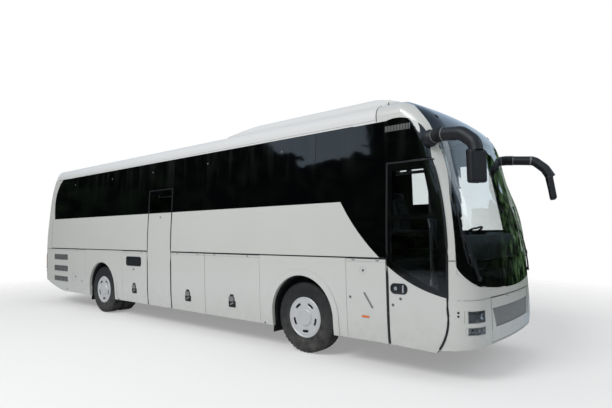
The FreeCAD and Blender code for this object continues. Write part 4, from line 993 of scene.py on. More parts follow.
def mirror_trims():
    """Ribbed sleeves with collars by the arms' feet, a light joint, and the glass with its seal."""
    for label in SIDES:
        path = arm_line(label)
        radius = ARM_RADII[label]
        start, end, ribs = (0.085, 0.215, 8) if label == "right" else (0.100, 0.270, 10)
        sleeve = stretch(path, start, end)
        radii = [radius + 0.0045 - 0.004 * math.cos(2 * math.pi * ribs * index / (len(sleeve) - 1))
                 for index in range(len(sleeve))]
        Shape().tube(sleeve, radii, 32).made("mirror_bellows_" + label, "rubber", "coach")
        collars = Shape()
        for place in (start - 0.012, end):
            collars.tube(stretch(path, place, place + 0.012), radius + 0.0055, 32)
        if label == "left":
            collars.tube(stretch(path, 0.520, 0.548), radius + 0.0030, 32)
        collars.made("mirror_collars_" + label, "slat", "coach")
        centre, facing, tall = mirror_glass_face(label)
        across = facing.cross(UP).normalized()
        up = across.cross(facing)
        seal = ((0.0, 0.0002), (0.0, 0.003), (0.002, 0.0045))
        glass = ((0.0, 0.004), (0.0, 0.0052), (0.001, 0.0058))
        for name, look, half, profile in (("seal", "rubber", (0.096, tall / 2 - 0.006), seal),
                                          ("glass", "mirror_glass", (0.090, tall / 2 - 0.012), glass)):
            rings = [[centre + across * u + up * v + facing * proud for u, v in outline(half, inset, 0.030)]
                     for inset, proud in profile]
            Shape().rings(rings, cap_last=True).made("mirror_%s_%s" % (name, label), look, "coach")


mirror_trims()


# ------------------------------------------------------------------ nose

LAMP_EDGE, LAMP_END = 0.942, 1.178
UPPER_LAMP, LOWER_LAMP = (0.718, 0.852), (0.578, 0.662)


def band(start, end, low, high, steps=10):
    """Stations from start to end with the same low and high at each."""
    us = [start + (end - start) * step / steps for step in range(steps + 1)]
    return us, [(low, high)] * len(us)


def bowl(shape, centre, radius, deep):
    """A round reflector that opens forwards."""
    shares = (1.0, 0.9, 0.75, 0.55, 0.35, 0.15, 0.02)
    profile = [(-deep * (1 - share ** 2), radius * share) for share in shares]
    shape.lathe(centre, (1, 0, 0), [(0.004, radius * 1.03)] + profile, 40)


def headlamp_cluster(label):
    """Clear covers flush with the bumper, the reflectors behind them and a near-black strip at their inner
    edges, which is painted shade.
    """
    side = SIDES[label]
    near, far = side * LAMP_EDGE, side * LAMP_END
    covers = Trim()
    backs, bright, grey, ribs = Trim(), Shape(), Shape(), Trim()
    for low, high in (UPPER_LAMP, LOWER_LAMP):
        us, vs = band(near, far, low, high)
        covers.slab("nose", us, vs, -0.0006, -0.0040)
        backs.slab("nose", us, vs, -0.058, -0.062)
        for level in (low, high):
            backs.slab("nose", us, [(level - 0.002, level + 0.002)] * len(us), -0.004, -0.060)
        for edge in (near, far):
            backs.slab("nose", [edge - 0.002, edge + 0.002], [(low, high)] * 2, -0.004, -0.060)
    surround = Trim()
    for low, high in (UPPER_LAMP, LOWER_LAMP):
        us, vs = band(far + side * 0.003, side * 1.2045, low - 0.002, high + 0.002, 4)
        surround.slab("nose", us, vs, -0.0003, -0.012)
    surround.made("lamp_surround_" + label, "paint", "coach")

    def deep_in(y, z, depth):
        return SKIN.at("nose", side * y, z, 0.0, 0) - Vector((depth, 0, 0))

    middle_high, middle_low = sum(UPPER_LAMP) / 2, sum(LOWER_LAMP) / 2
    bowl(bright, deep_in(0.992, middle_high, 0.016), 0.047, 0.036)
    bowl(grey, deep_in(1.064, middle_high + 0.006, 0.028), 0.035, 0.024)
    bowl(grey, deep_in(1.105, middle_low, 0.028), 0.032, 0.022)
    bowl(bright, deep_in(1.040, middle_low, 0.022), 0.026, 0.020)
    grey.lathe(deep_in(1.064, middle_high + 0.006, 0.044), (1, 0, 0),
               ((0.0, 0.024), (0.008, 0.022), (0.014, 0.014), (0.016, 0.001)), 28)
    for count in range(9):
        y = side * (1.104 + 0.0085 * count)
        ribs.slab("nose", [y - 0.003, y, y + 0.003], [(UPPER_LAMP[0] + 0.010, UPPER_LAMP[1] - 0.016)] * 3,
                  -0.010, -0.030)
    wedge = Trim()
    us = [side * (0.952 + 0.006 * count) for count in range(13)]
    foot = LOWER_LAMP[0]
    vs = [(foot + 0.008, foot + 0.020 + 0.0045 * count) for count in range(13)]
    wedge.slab("nose", us, vs, -0.010, -0.034)
    # A near-black strip inside the upper lamp by its inner wall: painted shade.
    us = [side * (0.946 + 0.004 * count) for count in range(4)]
    edge = Trim()
    edge.slab("nose", us, [(UPPER_LAMP[0] + 0.006, UPPER_LAMP[1] - 0.006)] * 4, -0.006, -0.030)
    cover = covers.made("lamp_covers_" + label, "lamp", "coach")
    backs.made("lamp_backs_" + label, "pale", "coach", slot="plastic")
    bright.made("lamp_reflectors_" + label, "chrome", "coach")
    grey.made("lamp_bowls_" + label, "dull_metal", "coach")
    ribs.made("lamp_ribs_" + label, "dull_metal", "coach")
    wedge.made("lamp_wedge_" + label, "slat", "coach")
    edge.made("lamp_shade_edge_" + label, "shadow", "coach", slot="plastic")
    dots = Shape()
    for z in (0.839, 0.796):
        spot, normal = SKIN.spot("nose", side * 1.2385, z)
        outward = normal if normal.x > 0 else -normal
        dots.lathe(spot, outward, ((-0.003, 0.013), (0.003, 0.013), (0.005, 0.010), (0.005, 0.0008)), 24)
    dots.made("bumper_plugs_" + label, "rubber", "coach")
    return cover


MOUTH_LOW, MOUTH_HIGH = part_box("grille")
MOUTH_FOOT = 0.655


def mouth_half(z):
    """Half of the grille's width at a level."""
    return MOUTH_FOOT + (MOUTH_HIGH.y - MOUTH_FOOT) * (z - MOUTH_LOW.z) / (MOUTH_HIGH.z - MOUTH_LOW.z)


def mesh_bar(shape, start, end, half, deep):
    """One flat bar of the mesh, from a point across and up to another, on the grille's own surface."""
    across = Vector((end[0] - start[0], end[1] - start[1]))
    beside = Vector((-across.y, across.x)).normalized() * half
    steps = max(2, round(across.length / 0.05))
    rings = []
    for step in range(steps + 1):
        u = start[0] + across.x * step / steps
        v = start[1] + across.y * step / steps
        point = SKIN.at("nose", u, v, 0.0, 0)
        ring = [point + Vector((depth, beside.x * sign, beside.y * sign))
                for sign, depth in ((1, 0.0), (-1, 0.0), (-1, -deep), (1, -deep))]
        rings.append(ring)
    shape.rings(rings, True, True)


def grille_mesh():
    """A mesh of crossing bars in diamonds, in a recess darkened by painted shade on a near-black back plate,
    under a dark bead that is the painted shadow of the lip.
    """
    low, high = MOUTH_LOW.z + 0.005, MOUTH_HIGH.z - 0.005
    bars = Shape()
    slope, pitch = 0.62, 0.058
    top = MOUTH_HIGH.y
    for lean in (1, -1):
        count = int(2 * (top + (high - low) / slope) / pitch) + 2
        for number in range(-count // 2, count // 2 + 1):
            foot = number * pitch
            inside = []
            for step in range(41):
                z = low + (high - low) * step / 40
                y = foot + lean * (z - low) / slope
                if abs(y) < mouth_half(z) - 0.004:
                    inside.append((y, z))
            if len(inside) > 3:
                mesh_bar(bars, inside[0], inside[-1], 0.0078, 0.006)
    mesh = bars.made("grille_mesh", "mesh", "front_lid")
    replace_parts(mesh, "grille")
    # A near-black plate behind the bars: painted shade for the depth of the recess.
    back = Trim()
    us = [-0.70 + 0.05 * step for step in range(29)]
    feet = [low + 0.002 if abs(u) < MOUTH_FOOT else low + (abs(u) - MOUTH_FOOT) * 2.4 for u in us]
    back.slab("nose", us, [(foot, high - 0.002) for foot in feet], -0.014, -0.017)
    back.made("grille_shade_back", "shadow", "front_lid", slot="plastic")
    # A dark bead along the top of the mouth: painted shadow of the lip above it.
    lip = Trim()
    lip.bead("nose", [(-0.735 + 0.049 * step, high + 0.0015) for step in range(31)], 0.0045, spread=0)
    lip.made("grille_lip_shadow", "rubber", "front_lid")


def nose_seams():
    """Grey strips in the seams of the nose, and the pale strip under the windscreen."""
    seams = Trim()
    for side in SIDES.values():
        seams.seam("nose", line((side * 0.772, 0.60), (side * 0.772, 0.972), 12), 0.0028)
        across = [0.78 + 0.046 * step for step in range(11)]
        seams.seam("nose", [(side * y, 0.979 + 0.004 * (1.24 - y)) for y in across], 0.0030)
    seams.made("nose_seams", "slat", "coach")
    strip = Trim()
    us = [-0.80 + 0.05 * step for step in range(11)]
    strip.slab("nose", us, [(1.068, 1.084)] * len(us), 0.0010, -0.004)
    strip.made("screen_foot_strip", "pale", "coach")


def wiper(label):
    """A parked wiper: spindle, double arm, bracket and the blade with its rubber."""
    side = SIDES[label]
    stations = [(1.150, 1.400), (1.178, 1.600), (1.186, 1.800), (1.180, 2.000), (1.166, 2.180)]

    def over(y, z, proud):
        return SKIN.at("nose", side * y, z, proud, 0)

    spindle = over(1.010, 1.225, 0.0)
    metal = Shape()
    metal.lathe(spindle, (1, side * 0.35, 0),
                ((-0.004, 0.026), (0.014, 0.026), (0.020, 0.019), (0.027, 0.017), (0.029, 0.001)), 28)
    arm = [spindle + Vector((0.014, side * 0.006, 0)), over(1.060, 1.340, 0.016), over(1.110, 1.520, 0.016),
           over(1.150, 1.680, 0.016), over(1.176, 1.800, 0.016)]
    metal.tube(smooth_path(arm, 6), 0.0085, 10)
    second = [point + Vector((0.004, side * 0.030, -0.030)) for point in arm[:4]] + [arm[4]]
    metal.tube(smooth_path(second, 6), 0.0055, 8)
    bracket = [over(1.128, 1.400, 0.014), over(1.134, 1.430, 0.042), over(1.142, 1.490, 0.046),
               over(1.146, 1.520, 0.016)]
    metal.tube(smooth_path(bracket, 6), 0.0060, 8)
    metal.made("wiper_arms_" + label, "rubber", "coach")
    blade = Shape()
    blade.tube([over(y, z, 0.016) for y, z in stations], 0.0065, 8, flat=0.8)
    blade.tube([over(y, z, 0.005) for y, z in stations], 0.0038, 8, flat=0.6)
    for y, z in stations[1:4]:
        blade.tube([over(y, z - 0.02, 0.010), over(y, z, 0.022), over(y, z + 0.02, 0.010)], 0.005, 8)
    blade.made("wiper_blade_" + label, "rubber", "coach")


for label in SIDES:
    cover = headlamp_cluster(label)
    if label == "right":
        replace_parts(cover, "headlamps")
    wiper(label)
grille_mesh()
nose_seams()


# ------------------------------------------------------------------ head of the front

def front_crown():
    """Marker lamps on the cap and the air slats over the front door."""
    for label, side in SIDES.items():
        lamp_shape = Shape()
        spot, normal = SKIN.spot("top", 5.280, side * 0.960)
        outward = normal if normal.z > 0 else -normal
        across = Vector((0, 1, 0)).cross(outward).normalized()
        beside = outward.cross(across)
        rings = []
        for inset, proud in ((0.0, -0.003), (0.0, 0.004), (0.004, 0.007), (0.010, 0.008)):
            rings.append([spot + across * u + beside * v + outward * proud
                          for u, v in outline((0.030, 0.016), inset, 0.015)])
        lamp_shape.rings(rings, cap_last=True)
        lamp_shape.made("cap_marker_" + label, "shadow", "coach", slot="plastic")
        slats = Trim()
        for count in range(17):
            slats.relief(label, (4.668 + 0.022 * count, 3.150), (0.0055, 0.040), 0.004,
                         ((0.0, -0.002), (0.0, 0.003), (0.002, 0.005)), spread=0)
        slats.made("head_slats_" + label, "slat", "coach")


front_crown()


# ------------------------------------------------------------------ cabin

def pad(shape, centre, across, along, normal, size, crown=0.35, pull=0.05, grooves=(), steps=12):
    """A crowned cushion: full in the middle, pinched to a seam round its edge, its sides pulled in."""
    wide, long, thick = size
    across, along, normal = (Vector(axis).normalized() for axis in (across, along, normal))

    def place(s, t, face):
        edge = max(0.0, (1 - s ** 4) * (1 - t ** 4)) ** 0.38
        dome = (1 - s * s) * (1 - t * t)
        height = thick / 2 * (edge * (1 - crown) + crown * dome * edge)
        for where, depth in grooves:
            height -= depth * math.exp(-((s - where) / 0.045) ** 2) * edge if face > 0 else 0.0
        u = s * wide / 2 * (1 - pull * (1 - t * t))
        v = t * long / 2 * (1 - pull * (1 - s * s))
        return Vector(centre) + across * u + along * v + normal * face * height

    grid = [-1 + 2 * step / steps for step in range(steps + 1)]
    base = len(shape.points)
    index = {}
    for face in (1, -1):
        for i, s in enumerate(grid):
            for j, t in enumerate(grid):
                border = i in (0, steps) or j in (0, steps)
                if face < 0 and border:
                    index[(face, i, j)] = index[(1, i, j)]
                    continue
                index[(face, i, j)] = base
                shape.points.append(place(s, t, face))
                base += 1
    for face in (1, -1):
        for i in range(steps):
            for j in range(steps):
                quad = [index[(face, i, j)], index[(face, i + 1, j)], index[(face, i + 1, j + 1)],
                        index[(face, i, j + 1)]]
                shape.faces.append(tuple(quad if face > 0 else quad[::-1]))
    rim = [(s, -1.0) for s in grid] + [(1.0, t) for t in grid[1:]]
    rim += [(s, 1.0) for s in grid[-2::-1]] + [(-1.0, t) for t in grid[-2:0:-1]]
    return [place(s, t, 1) for s, t in rim]


def piped(shape, rim, radius=0.005):
    shape.tube(rim + rim[:2], radius, 6, False)


def seat(soft, piping, x, y, level, wide=0.43):
    """Cushion, back with sewn channels and head part of one seat, all leaning as the frame does."""
    lean = Vector((-0.235, 0.0, 1.0)).normalized()
    ahead = Vector((0.0, 1.0, 0.0)).cross(lean).normalized()
    rims = [pad(soft, (x - 0.002, y, level + 0.392), (0, 1, 0), (1, 0, 0.06), (-0.06, 0, 1),
                (wide, 0.450, 0.118), 0.35, 0.04, ((-0.45, 0.006), (0.45, 0.006)))]
    back = Vector((x - 0.262, y, level + 0.703))
    rims.append(pad(soft, back, (0, 1, 0), lean, ahead, (wide, 0.550, 0.098), 0.40, 0.04,
                    ((-0.48, 0.007), (0.48, 0.007))))
    head = back + lean * 0.346
    rims.append(pad(soft, head, (0, 1, 0), lean, ahead, (wide * 0.74, 0.150, 0.090), 0.45, 0.05))
    for rim in rims:
        piped(piping, rim)


def seat_frame(shape, x, y, level):
    """Foot, cross rails and armrests under and beside a pair of seats."""
    shape.block((x - 0.055, y - 0.225, level), (x + 0.055, y + 0.225, level + 0.045), 0.008)
    for end in (-0.20, 0.20):
        shape.tube([(x - 0.02, y + end, level + 0.03), (x - 0.05, y + end * 0.9, level + 0.335)], 0.022, 12)
    for along in (-0.15, 0.13):
        shape.tube([(x + along, y - 0.425, level + 0.325), (x + along, y + 0.425, level + 0.325)], 0.014, 10)
    for end in (-0.422, 0.0, 0.422):
        shape.tube(smooth_path([(x - 0.255, y + end, level + 0.60), (x - 0.16, y + end, level + 0.625),
                                (x - 0.02, y + end, level + 0.62), (x + 0.045, y + end, level + 0.60)], 5),
                   0.017, 10)


FIRST_ROW = 4.024 - 0.095
ROW_PITCH = 0.815
PAIR_OFFSET = 0.74
SEAT_OFFSET = 0.218


def passenger_seats():
    """Every pair of seats on its own place, read from the solids."""
    mesh = NODES["passenger_seats"].data
    stations = {}
    for vertex in mesh.vertices:
        side = 1 if vertex.co.y > 0 else -1
        row = round((FIRST_ROW - vertex.co.x) / ROW_PITCH)
        low, high = stations.get((side, row), (99.0, -99.0))
        stations[(side, row)] = (min(low, vertex.co.x), max(high, vertex.co.x))
    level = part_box("passenger_seats")[0].z
    frames = Shape()
    for (side, row), (low, high) in sorted(stations.items()):
        if high - low < 0.5:
            continue
        x = high - 0.230
        label = "%s_%02d" % ("left" if side > 0 else "right", row + 1)
        soft, piping = Shape(), Shape()
        for offset in (-SEAT_OFFSET, SEAT_OFFSET):
            seat(soft, piping, x, side * PAIR_OFFSET + offset, level)
        cloth = soft.made("seat_pair_" + label, "seat", "coach", 60)
        piping.made("seat_piping_" + label, "piping", "coach", 60, slot="seat")
        seat_frame(frames, x, side * PAIR_OFFSET, level)
    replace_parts(frames.made("seat_frames", "plastic", "coach"), "passenger_seats")


def driver_place():
    """The driver's padded seat on its pillar with bellows."""
    low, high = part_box("driver_seat")
    x, y = high.x - 0.240, (low.y + high.y) / 2
    soft, piping, base = Shape(), Shape(), Shape()
    seat(soft, piping, x, y, low.z + 0.055, 0.46)
    cloth = soft.made("driver_pads", "seat", "coach", 60)
    piping.made("driver_piping", "piping", "coach", 60, slot="seat")
    base.block((x - 0.19, y - 0.20, low.z), (x + 0.17, y + 0.20, low.z + 0.06), 0.012)
    for step in range(5):
        inset = 0.012 * (step % 2)
        base.block((x - 0.15 + inset, y - 0.15 + inset, low.z + 0.06 + 0.052 * step),
                   (x + 0.13 - inset, y + 0.15 - inset, low.z + 0.112 + 0.052 * step), 0.010)
    base.block((x - 0.21, y - 0.215, low.z + 0.32), (x + 0.19, y + 0.215, low.z + 0.375), 0.015)
    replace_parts(base.made("driver_seat_base", "plastic", "coach"), "driver_seat")


def dash_cover():
    """The black top of the dash, high behind the windscreen, with a hood over the driver's dials."""
    cover = Shape()
    rings = []
    count = 48
    for step in range(count + 1):
        y = -1.09 + 2.18 * step / count
        hood = math.exp(-((y - 0.63) / 0.26) ** 4)
        rear = 5.415 - 0.075 * hood
        low, mid, high = (max(SKIN.at("nose", y, z, -back, 0).x, rear + 0.03)
                          for z, back in ((1.46, 0.075), (1.62, 0.075), (1.73, 0.115)))
        top = 1.745 + 0.022 * hood
        profile = ((low, 1.44), (mid, 1.62), (high, 1.715), (high - 0.03, top - 0.010),
                   (high - 0.07 * (high > rear + 0.1), top), (rear + 0.05, top + 0.012 * hood),
                   (rear + 0.012, top - 0.004), (rear, top - 0.03), (rear + 0.01, 1.62), (rear + 0.02, 1.44))
        rings.append([(x, y, z) for x, z in profile])
    cover.rings(rings, True, True)
    cover.made("dash_cover", "plastic", "coach", 40)


def wall_covers():
    """Dark covers inside the left wall, beside and behind the driver, round a small and a large opening."""
    covers = Trim()
    low, high = 2.235, 3.205
    small, large = (3.600, 3.735), (3.840, 4.255)
    for start, end, foot, top in ((3.470, small[0], low, high), (small[0], small[1], low, 2.870),
                                  (small[0], small[1], 2.945, high), (small[1], large[0], low, high),
                                  (large[1], 4.650, low, high)):
        us, vs = band(start, end, foot, top, 4)
        covers.slab("left", us, vs, -0.060, -0.066)
    covers.made("post_covers", "trim", "coach", 40, slot="plastic")


passenger_seats()
driver_place()
dash_cover()
wall_covers()


# ------------------------------------------------------------------ windscreen corner

SCREEN_CURVE = [(1.248, 1.485)] + arc((1.240, 1.439), (1.208, 1.277), (1.098, 1.167), 16) + [(0.860, 1.119)]
SCREEN_FOOT = arc((1.275, 1.520), (1.205, 1.245), (0.925, 1.123), 24) + [(0.80, 1.108)]


def screen_foot(y):
    """The level of the windscreen's lower edge at a distance from the centre plane."""
    for (y0, z0), (y1, z1) in zip(SCREEN_FOOT, SCREEN_FOOT[1:]):
        if y1 <= y <= y0:
            return z0 + (z1 - z0) * (y0 - y) / (y0 - y1) - 0.003
    return SCREEN_FOOT[-1][1]


def screen_corners():
    """The painted corner that rounds off the windscreen below the pillar, just proud of the glass."""
    for label, side in SIDES.items():
        shape = Trim()
        rings = []
        for y, high in SCREEN_CURVE:
            low = screen_foot(y)
            levels = [high + (low - high) * step / 5 for step in range(6)]
            ring = [SKIN.at("nose", side * y, z, 0.0016, 0) for z in levels]
            ring += [SKIN.at("nose", side * y, z, -0.0030, 0) for z in reversed(levels)]
            rings.append(ring)
        shape.rings(rings, True, True)
        shape.made("screen_corner_" + label, "paint", "coach", 40)


screen_corners()


# ------------------------------------------------------------------ roof and underside

def roof_pieces():
    """Two hatches, the gutter rails, the pod's air grilles, the roof's seams and the front cap's joint."""
    hatches = Shape()
    for x in (-0.95, -4.05):
        for grow, low, high in ((0.40, -0.012, 0.018), (0.37, 0.014, 0.040)):
            rings = []
            for level, inset in ((low, 0.0), (high - 0.010, 0.0), (high, 0.012)):
                rings.append([SKIN.at("top", x + u, v, level, 0)
                              for u, v in outline((grow, grow), inset, 0.09, 6)])
            hatches.rings(rings, cap_last=True)
    hatches.made("roof_hatches", "roof_paint", "coach")
    rails = Trim()
    rear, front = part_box("roof")[0].x + 0.30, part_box("roof")[1].x - 0.02
    for label in SIDES:
        stations = [rear + (front - rear) * step / 32 for step in range(33)]
        rails.tube([SKIN.at(label, x, BAND_TOP + 0.040, 0.001, 0) for x in stations], 0.0075, 8)
    rails.made("gutter_rails", "roof_paint", "coach")
    low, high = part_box("roof_pod")
    grilles = Shape()
    for x in (low.x + 0.9, low.x + 2.2, low.x + 3.2):
        for step in range(9):
            spot = SKIN.at("top", x, -0.32 + 0.08 * step, 0.0, 0)
            if spot.z > high.z - 0.006:
                continue
            grilles.block(spot + Vector((-0.22, -0.022, -0.004)), spot + Vector((0.22, 0.022, 0.004)), 0.003)
    grilles.made("pod_grilles", "slat", "coach")
    seam = Trim()
    for x in (-5.2, -2.6, 0.0):
        seam.seam("top", [(x, -1.05 + 0.07 * step) for step in range(31)], 0.003)
    seam.made("roof_seams", "slat", "coach")
    joint = Trim()
    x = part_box("roof")[1].x
    joint.seam("top", [(x, -1.12 + 0.08 * step) for step in range(29)], 0.0055)
    for label in SIDES:
        joint.seam(label, line((x + 0.012, BAND_TOP + 0.016), (x, BAND_TOP + 0.205), 10), 0.0055)
    joint.made("cap_joint", "rubber", "coach")


def arch_liners():
    """Dark half-round linings over the wheels, with flaps of rubber behind them."""
    centre_z, radius = 0.567, 0.583
    liners = Shape()
    for x, inner in ((FRONT_AXLE, 0.86), (REAR_AXLE, 0.56)):
        for side in SIDES.values():
            rings = []
            for y in (inner, 1.05, 1.16, 1.205):
                rings.append([(x + radius * math.cos(turn), side * y, centre_z + radius * math.sin(turn))
                              for turn in [math.radians(-16 + 212 * step / 40) for step in range(41)]])
            liners.rings(rings, closed=False)
    sheet = liners.made("arch_liners", "shadow", "coach", slot="plastic")
    skin = sheet.modifiers.new("sheet", "SOLIDIFY")
    skin.thickness = 0.004
    skin.offset = 1.0
    flaps = Shape()
    for x, inner, outer in ((FRONT_AXLE - 0.604, 0.88, 1.19), (REAR_AXLE - 0.604, 0.60, 1.19)):
        for side in SIDES.values():
            rings = []
            for level, back in ((0.66, 0.0), (0.50, -0.004), (0.36, -0.012), (0.235, -0.026)):
                y0, y1 = sorted((side * inner, side * outer))
                rings.append([(x + back + dx, y, level) for dx, y in ((0.004, y0), (0.004, y1), (-0.004, y1),
                                                                      (-0.004, y0))])
            flaps.rings(rings, True, True)
    flaps.made("mud_flaps", "rubber", "coach")


roof_pieces()
arch_liners()


# ------------------------------------------------------------------ tail

LAMP_STRIP = -5.945


def tail_lamps():
    """Lenses over the rear lamps, with the strips that wrap round the corners."""
    red, amber, pale = Trim(), Trim(), Trim()
    lens = ((0.0, -0.003), (0.0, 0.006), (0.006, 0.013), (0.018, 0.015))
    strip = ((0.0, -0.003), (0.0, 0.004), (0.004, 0.008), (0.014, 0.009))
    for side in SIDES.values():
        for shape, level, tall in ((red, 1.225, 0.062), (amber, 1.075, 0.070), (red, 0.925, 0.062)):
            shape.relief("tail", (side * 1.142, level), (0.044, tall), 0.020, lens, spread=0)
    for label in SIDES:
        amber.relief(label, (LAMP_STRIP, 1.090), (0.034, 0.200), 0.016, strip, spread=0)
        pale.relief(label, (LAMP_STRIP, 0.835), (0.022, 0.026), 0.010, spread=0)
    red.made("tail_lenses", "tail_lamp", "coach")
    amber.made("tail_indicators", "amber", "coach", slot="tail_lamp")
    pale.made("tail_corner_marks", "rubber", "coach")
    rims = Trim()
    for label in SIDES:
        for level in (1.205, 1.090, 0.975):
            rims.relief(label, (LAMP_STRIP, level), (0.036, 0.0035), 0.003, ((0.0, 0.004), (0.0, 0.010)),
                        spread=0)
        rims.relief(label, (LAMP_STRIP, 1.090), (0.040, 0.206), 0.018,
                    ((0.0, -0.002), (0.0, 0.006), (0.002, 0.007), (0.006, 0.007), (0.007, 0.001)), False,
                    spread=0)
    rims.made("tail_lamp_rims", "shadow", "coach", slot="plastic")
    fitting("tail_markers", "red", "coach", "tail", (
        ((-0.95, 3.215), (0.050, 0.016), 0.012), ((0.95, 3.215), (0.050, 0.016), 0.012),
        ((-0.98, 0.745), (0.070, 0.020), 0.012), ((0.98, 0.745), (0.070, 0.020), 0.012)),
        slot="tail_lamp", spread=0)


def engine_lid_trim():
    """Louvres, a blank plate in its frame, the grip and the locks of the engine lid."""
    z, half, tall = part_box("engine_lid")[1].z - 0.235, 0.36, 0.150
    frames, slats = Trim(), Trim()
    for y in (-0.46, 0.46):
        frames.relief("tail", (y, z), (half, tall), 0.030, RING, False, spread=0)
        frames.relief("tail", (y, z), (half - 0.010, tall - 0.010), 0.024, ((0.0, -0.002), (0.0, 0.001)),
                      spread=0)
        for slat in range(8):
            level = z - tall + 0.030 + slat * 2 * (tall - 0.030) / 7
            rows = []
            for u in (y - half + 0.018, y, y + half - 0.018):
                outer = SKIN.at("tail", u, level - 0.007, 0.006, 0)
                inner = SKIN.at("tail", u, level + 0.008, 0.001, 0)
                rows.append([outer, inner, inner + Vector((0, 0, 0.003)), outer + Vector((0, 0, 0.004))])
            slats.rings(rows, True, True)
    # The frames and the plates behind the slats are near-black: painted shade for the depth of the louvres.
    frames.made("engine_louvre_shade_backs", "shadow", "engine_lid", slot="plastic")
    slats.made("engine_louvre_slats", "slat", "engine_lid", slot="paint")
    for name, look, *plate in (
            ("plate_carrier", "rubber", (0.0, 1.300), (0.270, 0.066), 0.010,
             ((0.0, -0.003), (0.0, 0.006), (0.004, 0.009), (0.010, 0.009), (0.011, 0.006))),
            ("plate_blank", "pale", (0.0, 1.300), (0.256, 0.053), 0.008,
             ((0.0, 0.005), (0.0, 0.0085), (0.001, 0.009))),
            ("engine_lid_grip", "rubber", (0.0, 1.130), (0.130, 0.030), 0.024,
             ((0.0, -0.003), (0.0, 0.001), (0.002, 0.0025), (0.012, 0.0025), (0.016, 0.0006)))):
        fitting(name, look, "engine_lid", "tail", (plate,), spread=0)
    locks = Trim()
    for y in (-0.70, 0.70):
        locks.stud("tail", y, 0.960, ((-0.003, 0.018), (0.003, 0.018), (0.006, 0.014), (0.006, 0.009),
                                      (0.002, 0.008), (0.004, 0.006), (0.004, 0.0008)), 24)
    locks.made("engine_lid_locks", "dull_metal", "engine_lid")


def exhaust():
    """The silencer's end pipe under the rear bumper, on its hanger."""
    pipe = Shape()
    path = smooth_path([(-5.30, -0.62, 0.66), (-5.60, -0.66, 0.60), (-5.88, -0.68, 0.545),
                        (-6.10, -0.69, 0.530)], 6)
    for radius in (0.052, 0.047):
        pipe.tube(path, radius, 24, False)
    pipe.lathe(path[-1], (1, 0, 0), ((0.0, 0.047), (0.0, 0.052)), 24)
    pipe.tube([path[8] + Vector((0, 0, 0.04)), path[8] + Vector((0, 0, 0.18))], 0.012, 10)
    pipe.made("exhaust_pipe", "dull_metal", "coach")


def small_marks():
    """Screws, plugs and caps on the flaps, the skirts and the window glass, and the seams by the pillars."""
    for label in SIDES:
        plugs = Trim()
        for x, z in ((-4.197, 0.755), (-3.847, 0.663), (-4.683, 0.422)):
            key(plugs, label, x, z)
        plug_ring(plugs, label, -4.270, 0.745, 0.110)
        plugs.made("radiator_locks_" + label, "dull_metal", "radiator_flap_" + label)
        screws = Trim()
        for x, z in ((2.443, 0.371), (-2.111, 0.372)):
            screws.stud(label, x, z, ((-0.003, 0.015), (0.003, 0.015), (0.006, 0.011), (0.006, 0.001)), 20)
        screws.made("skirt_screws_" + label, "rubber", "coach")
        caps = Trim()
        for x in (-4.416, -2.529, -0.846, 0.951, 2.797):
            caps.stud(label, x, 3.075, ((-0.002, 0.014), (0.002, 0.014), (0.004, 0.010), (0.004, 0.001)), 20)
        caps.made("glass_caps_" + label, "slat", "coach")
        seam = Trim()
        seam.seam(label, line((5.516, 1.441), (5.592, 1.441)), 0.0045)
        seam.seam(label, [(-5.45 + 0.3 * step, 3.266) for step in range(33)], 0.004)
        seam.seam(label, line((-5.614, 1.46), (-5.614, 2.18)), 0.0022)
        seam.made("body_seams_" + label, "rubber", "coach")


tail_lamps()
engine_lid_trim()
exhaust()
small_marks()


# ------------------------------------------------------------------ studio

AMBIENT = 0.50
TREE_LINE = 0.235


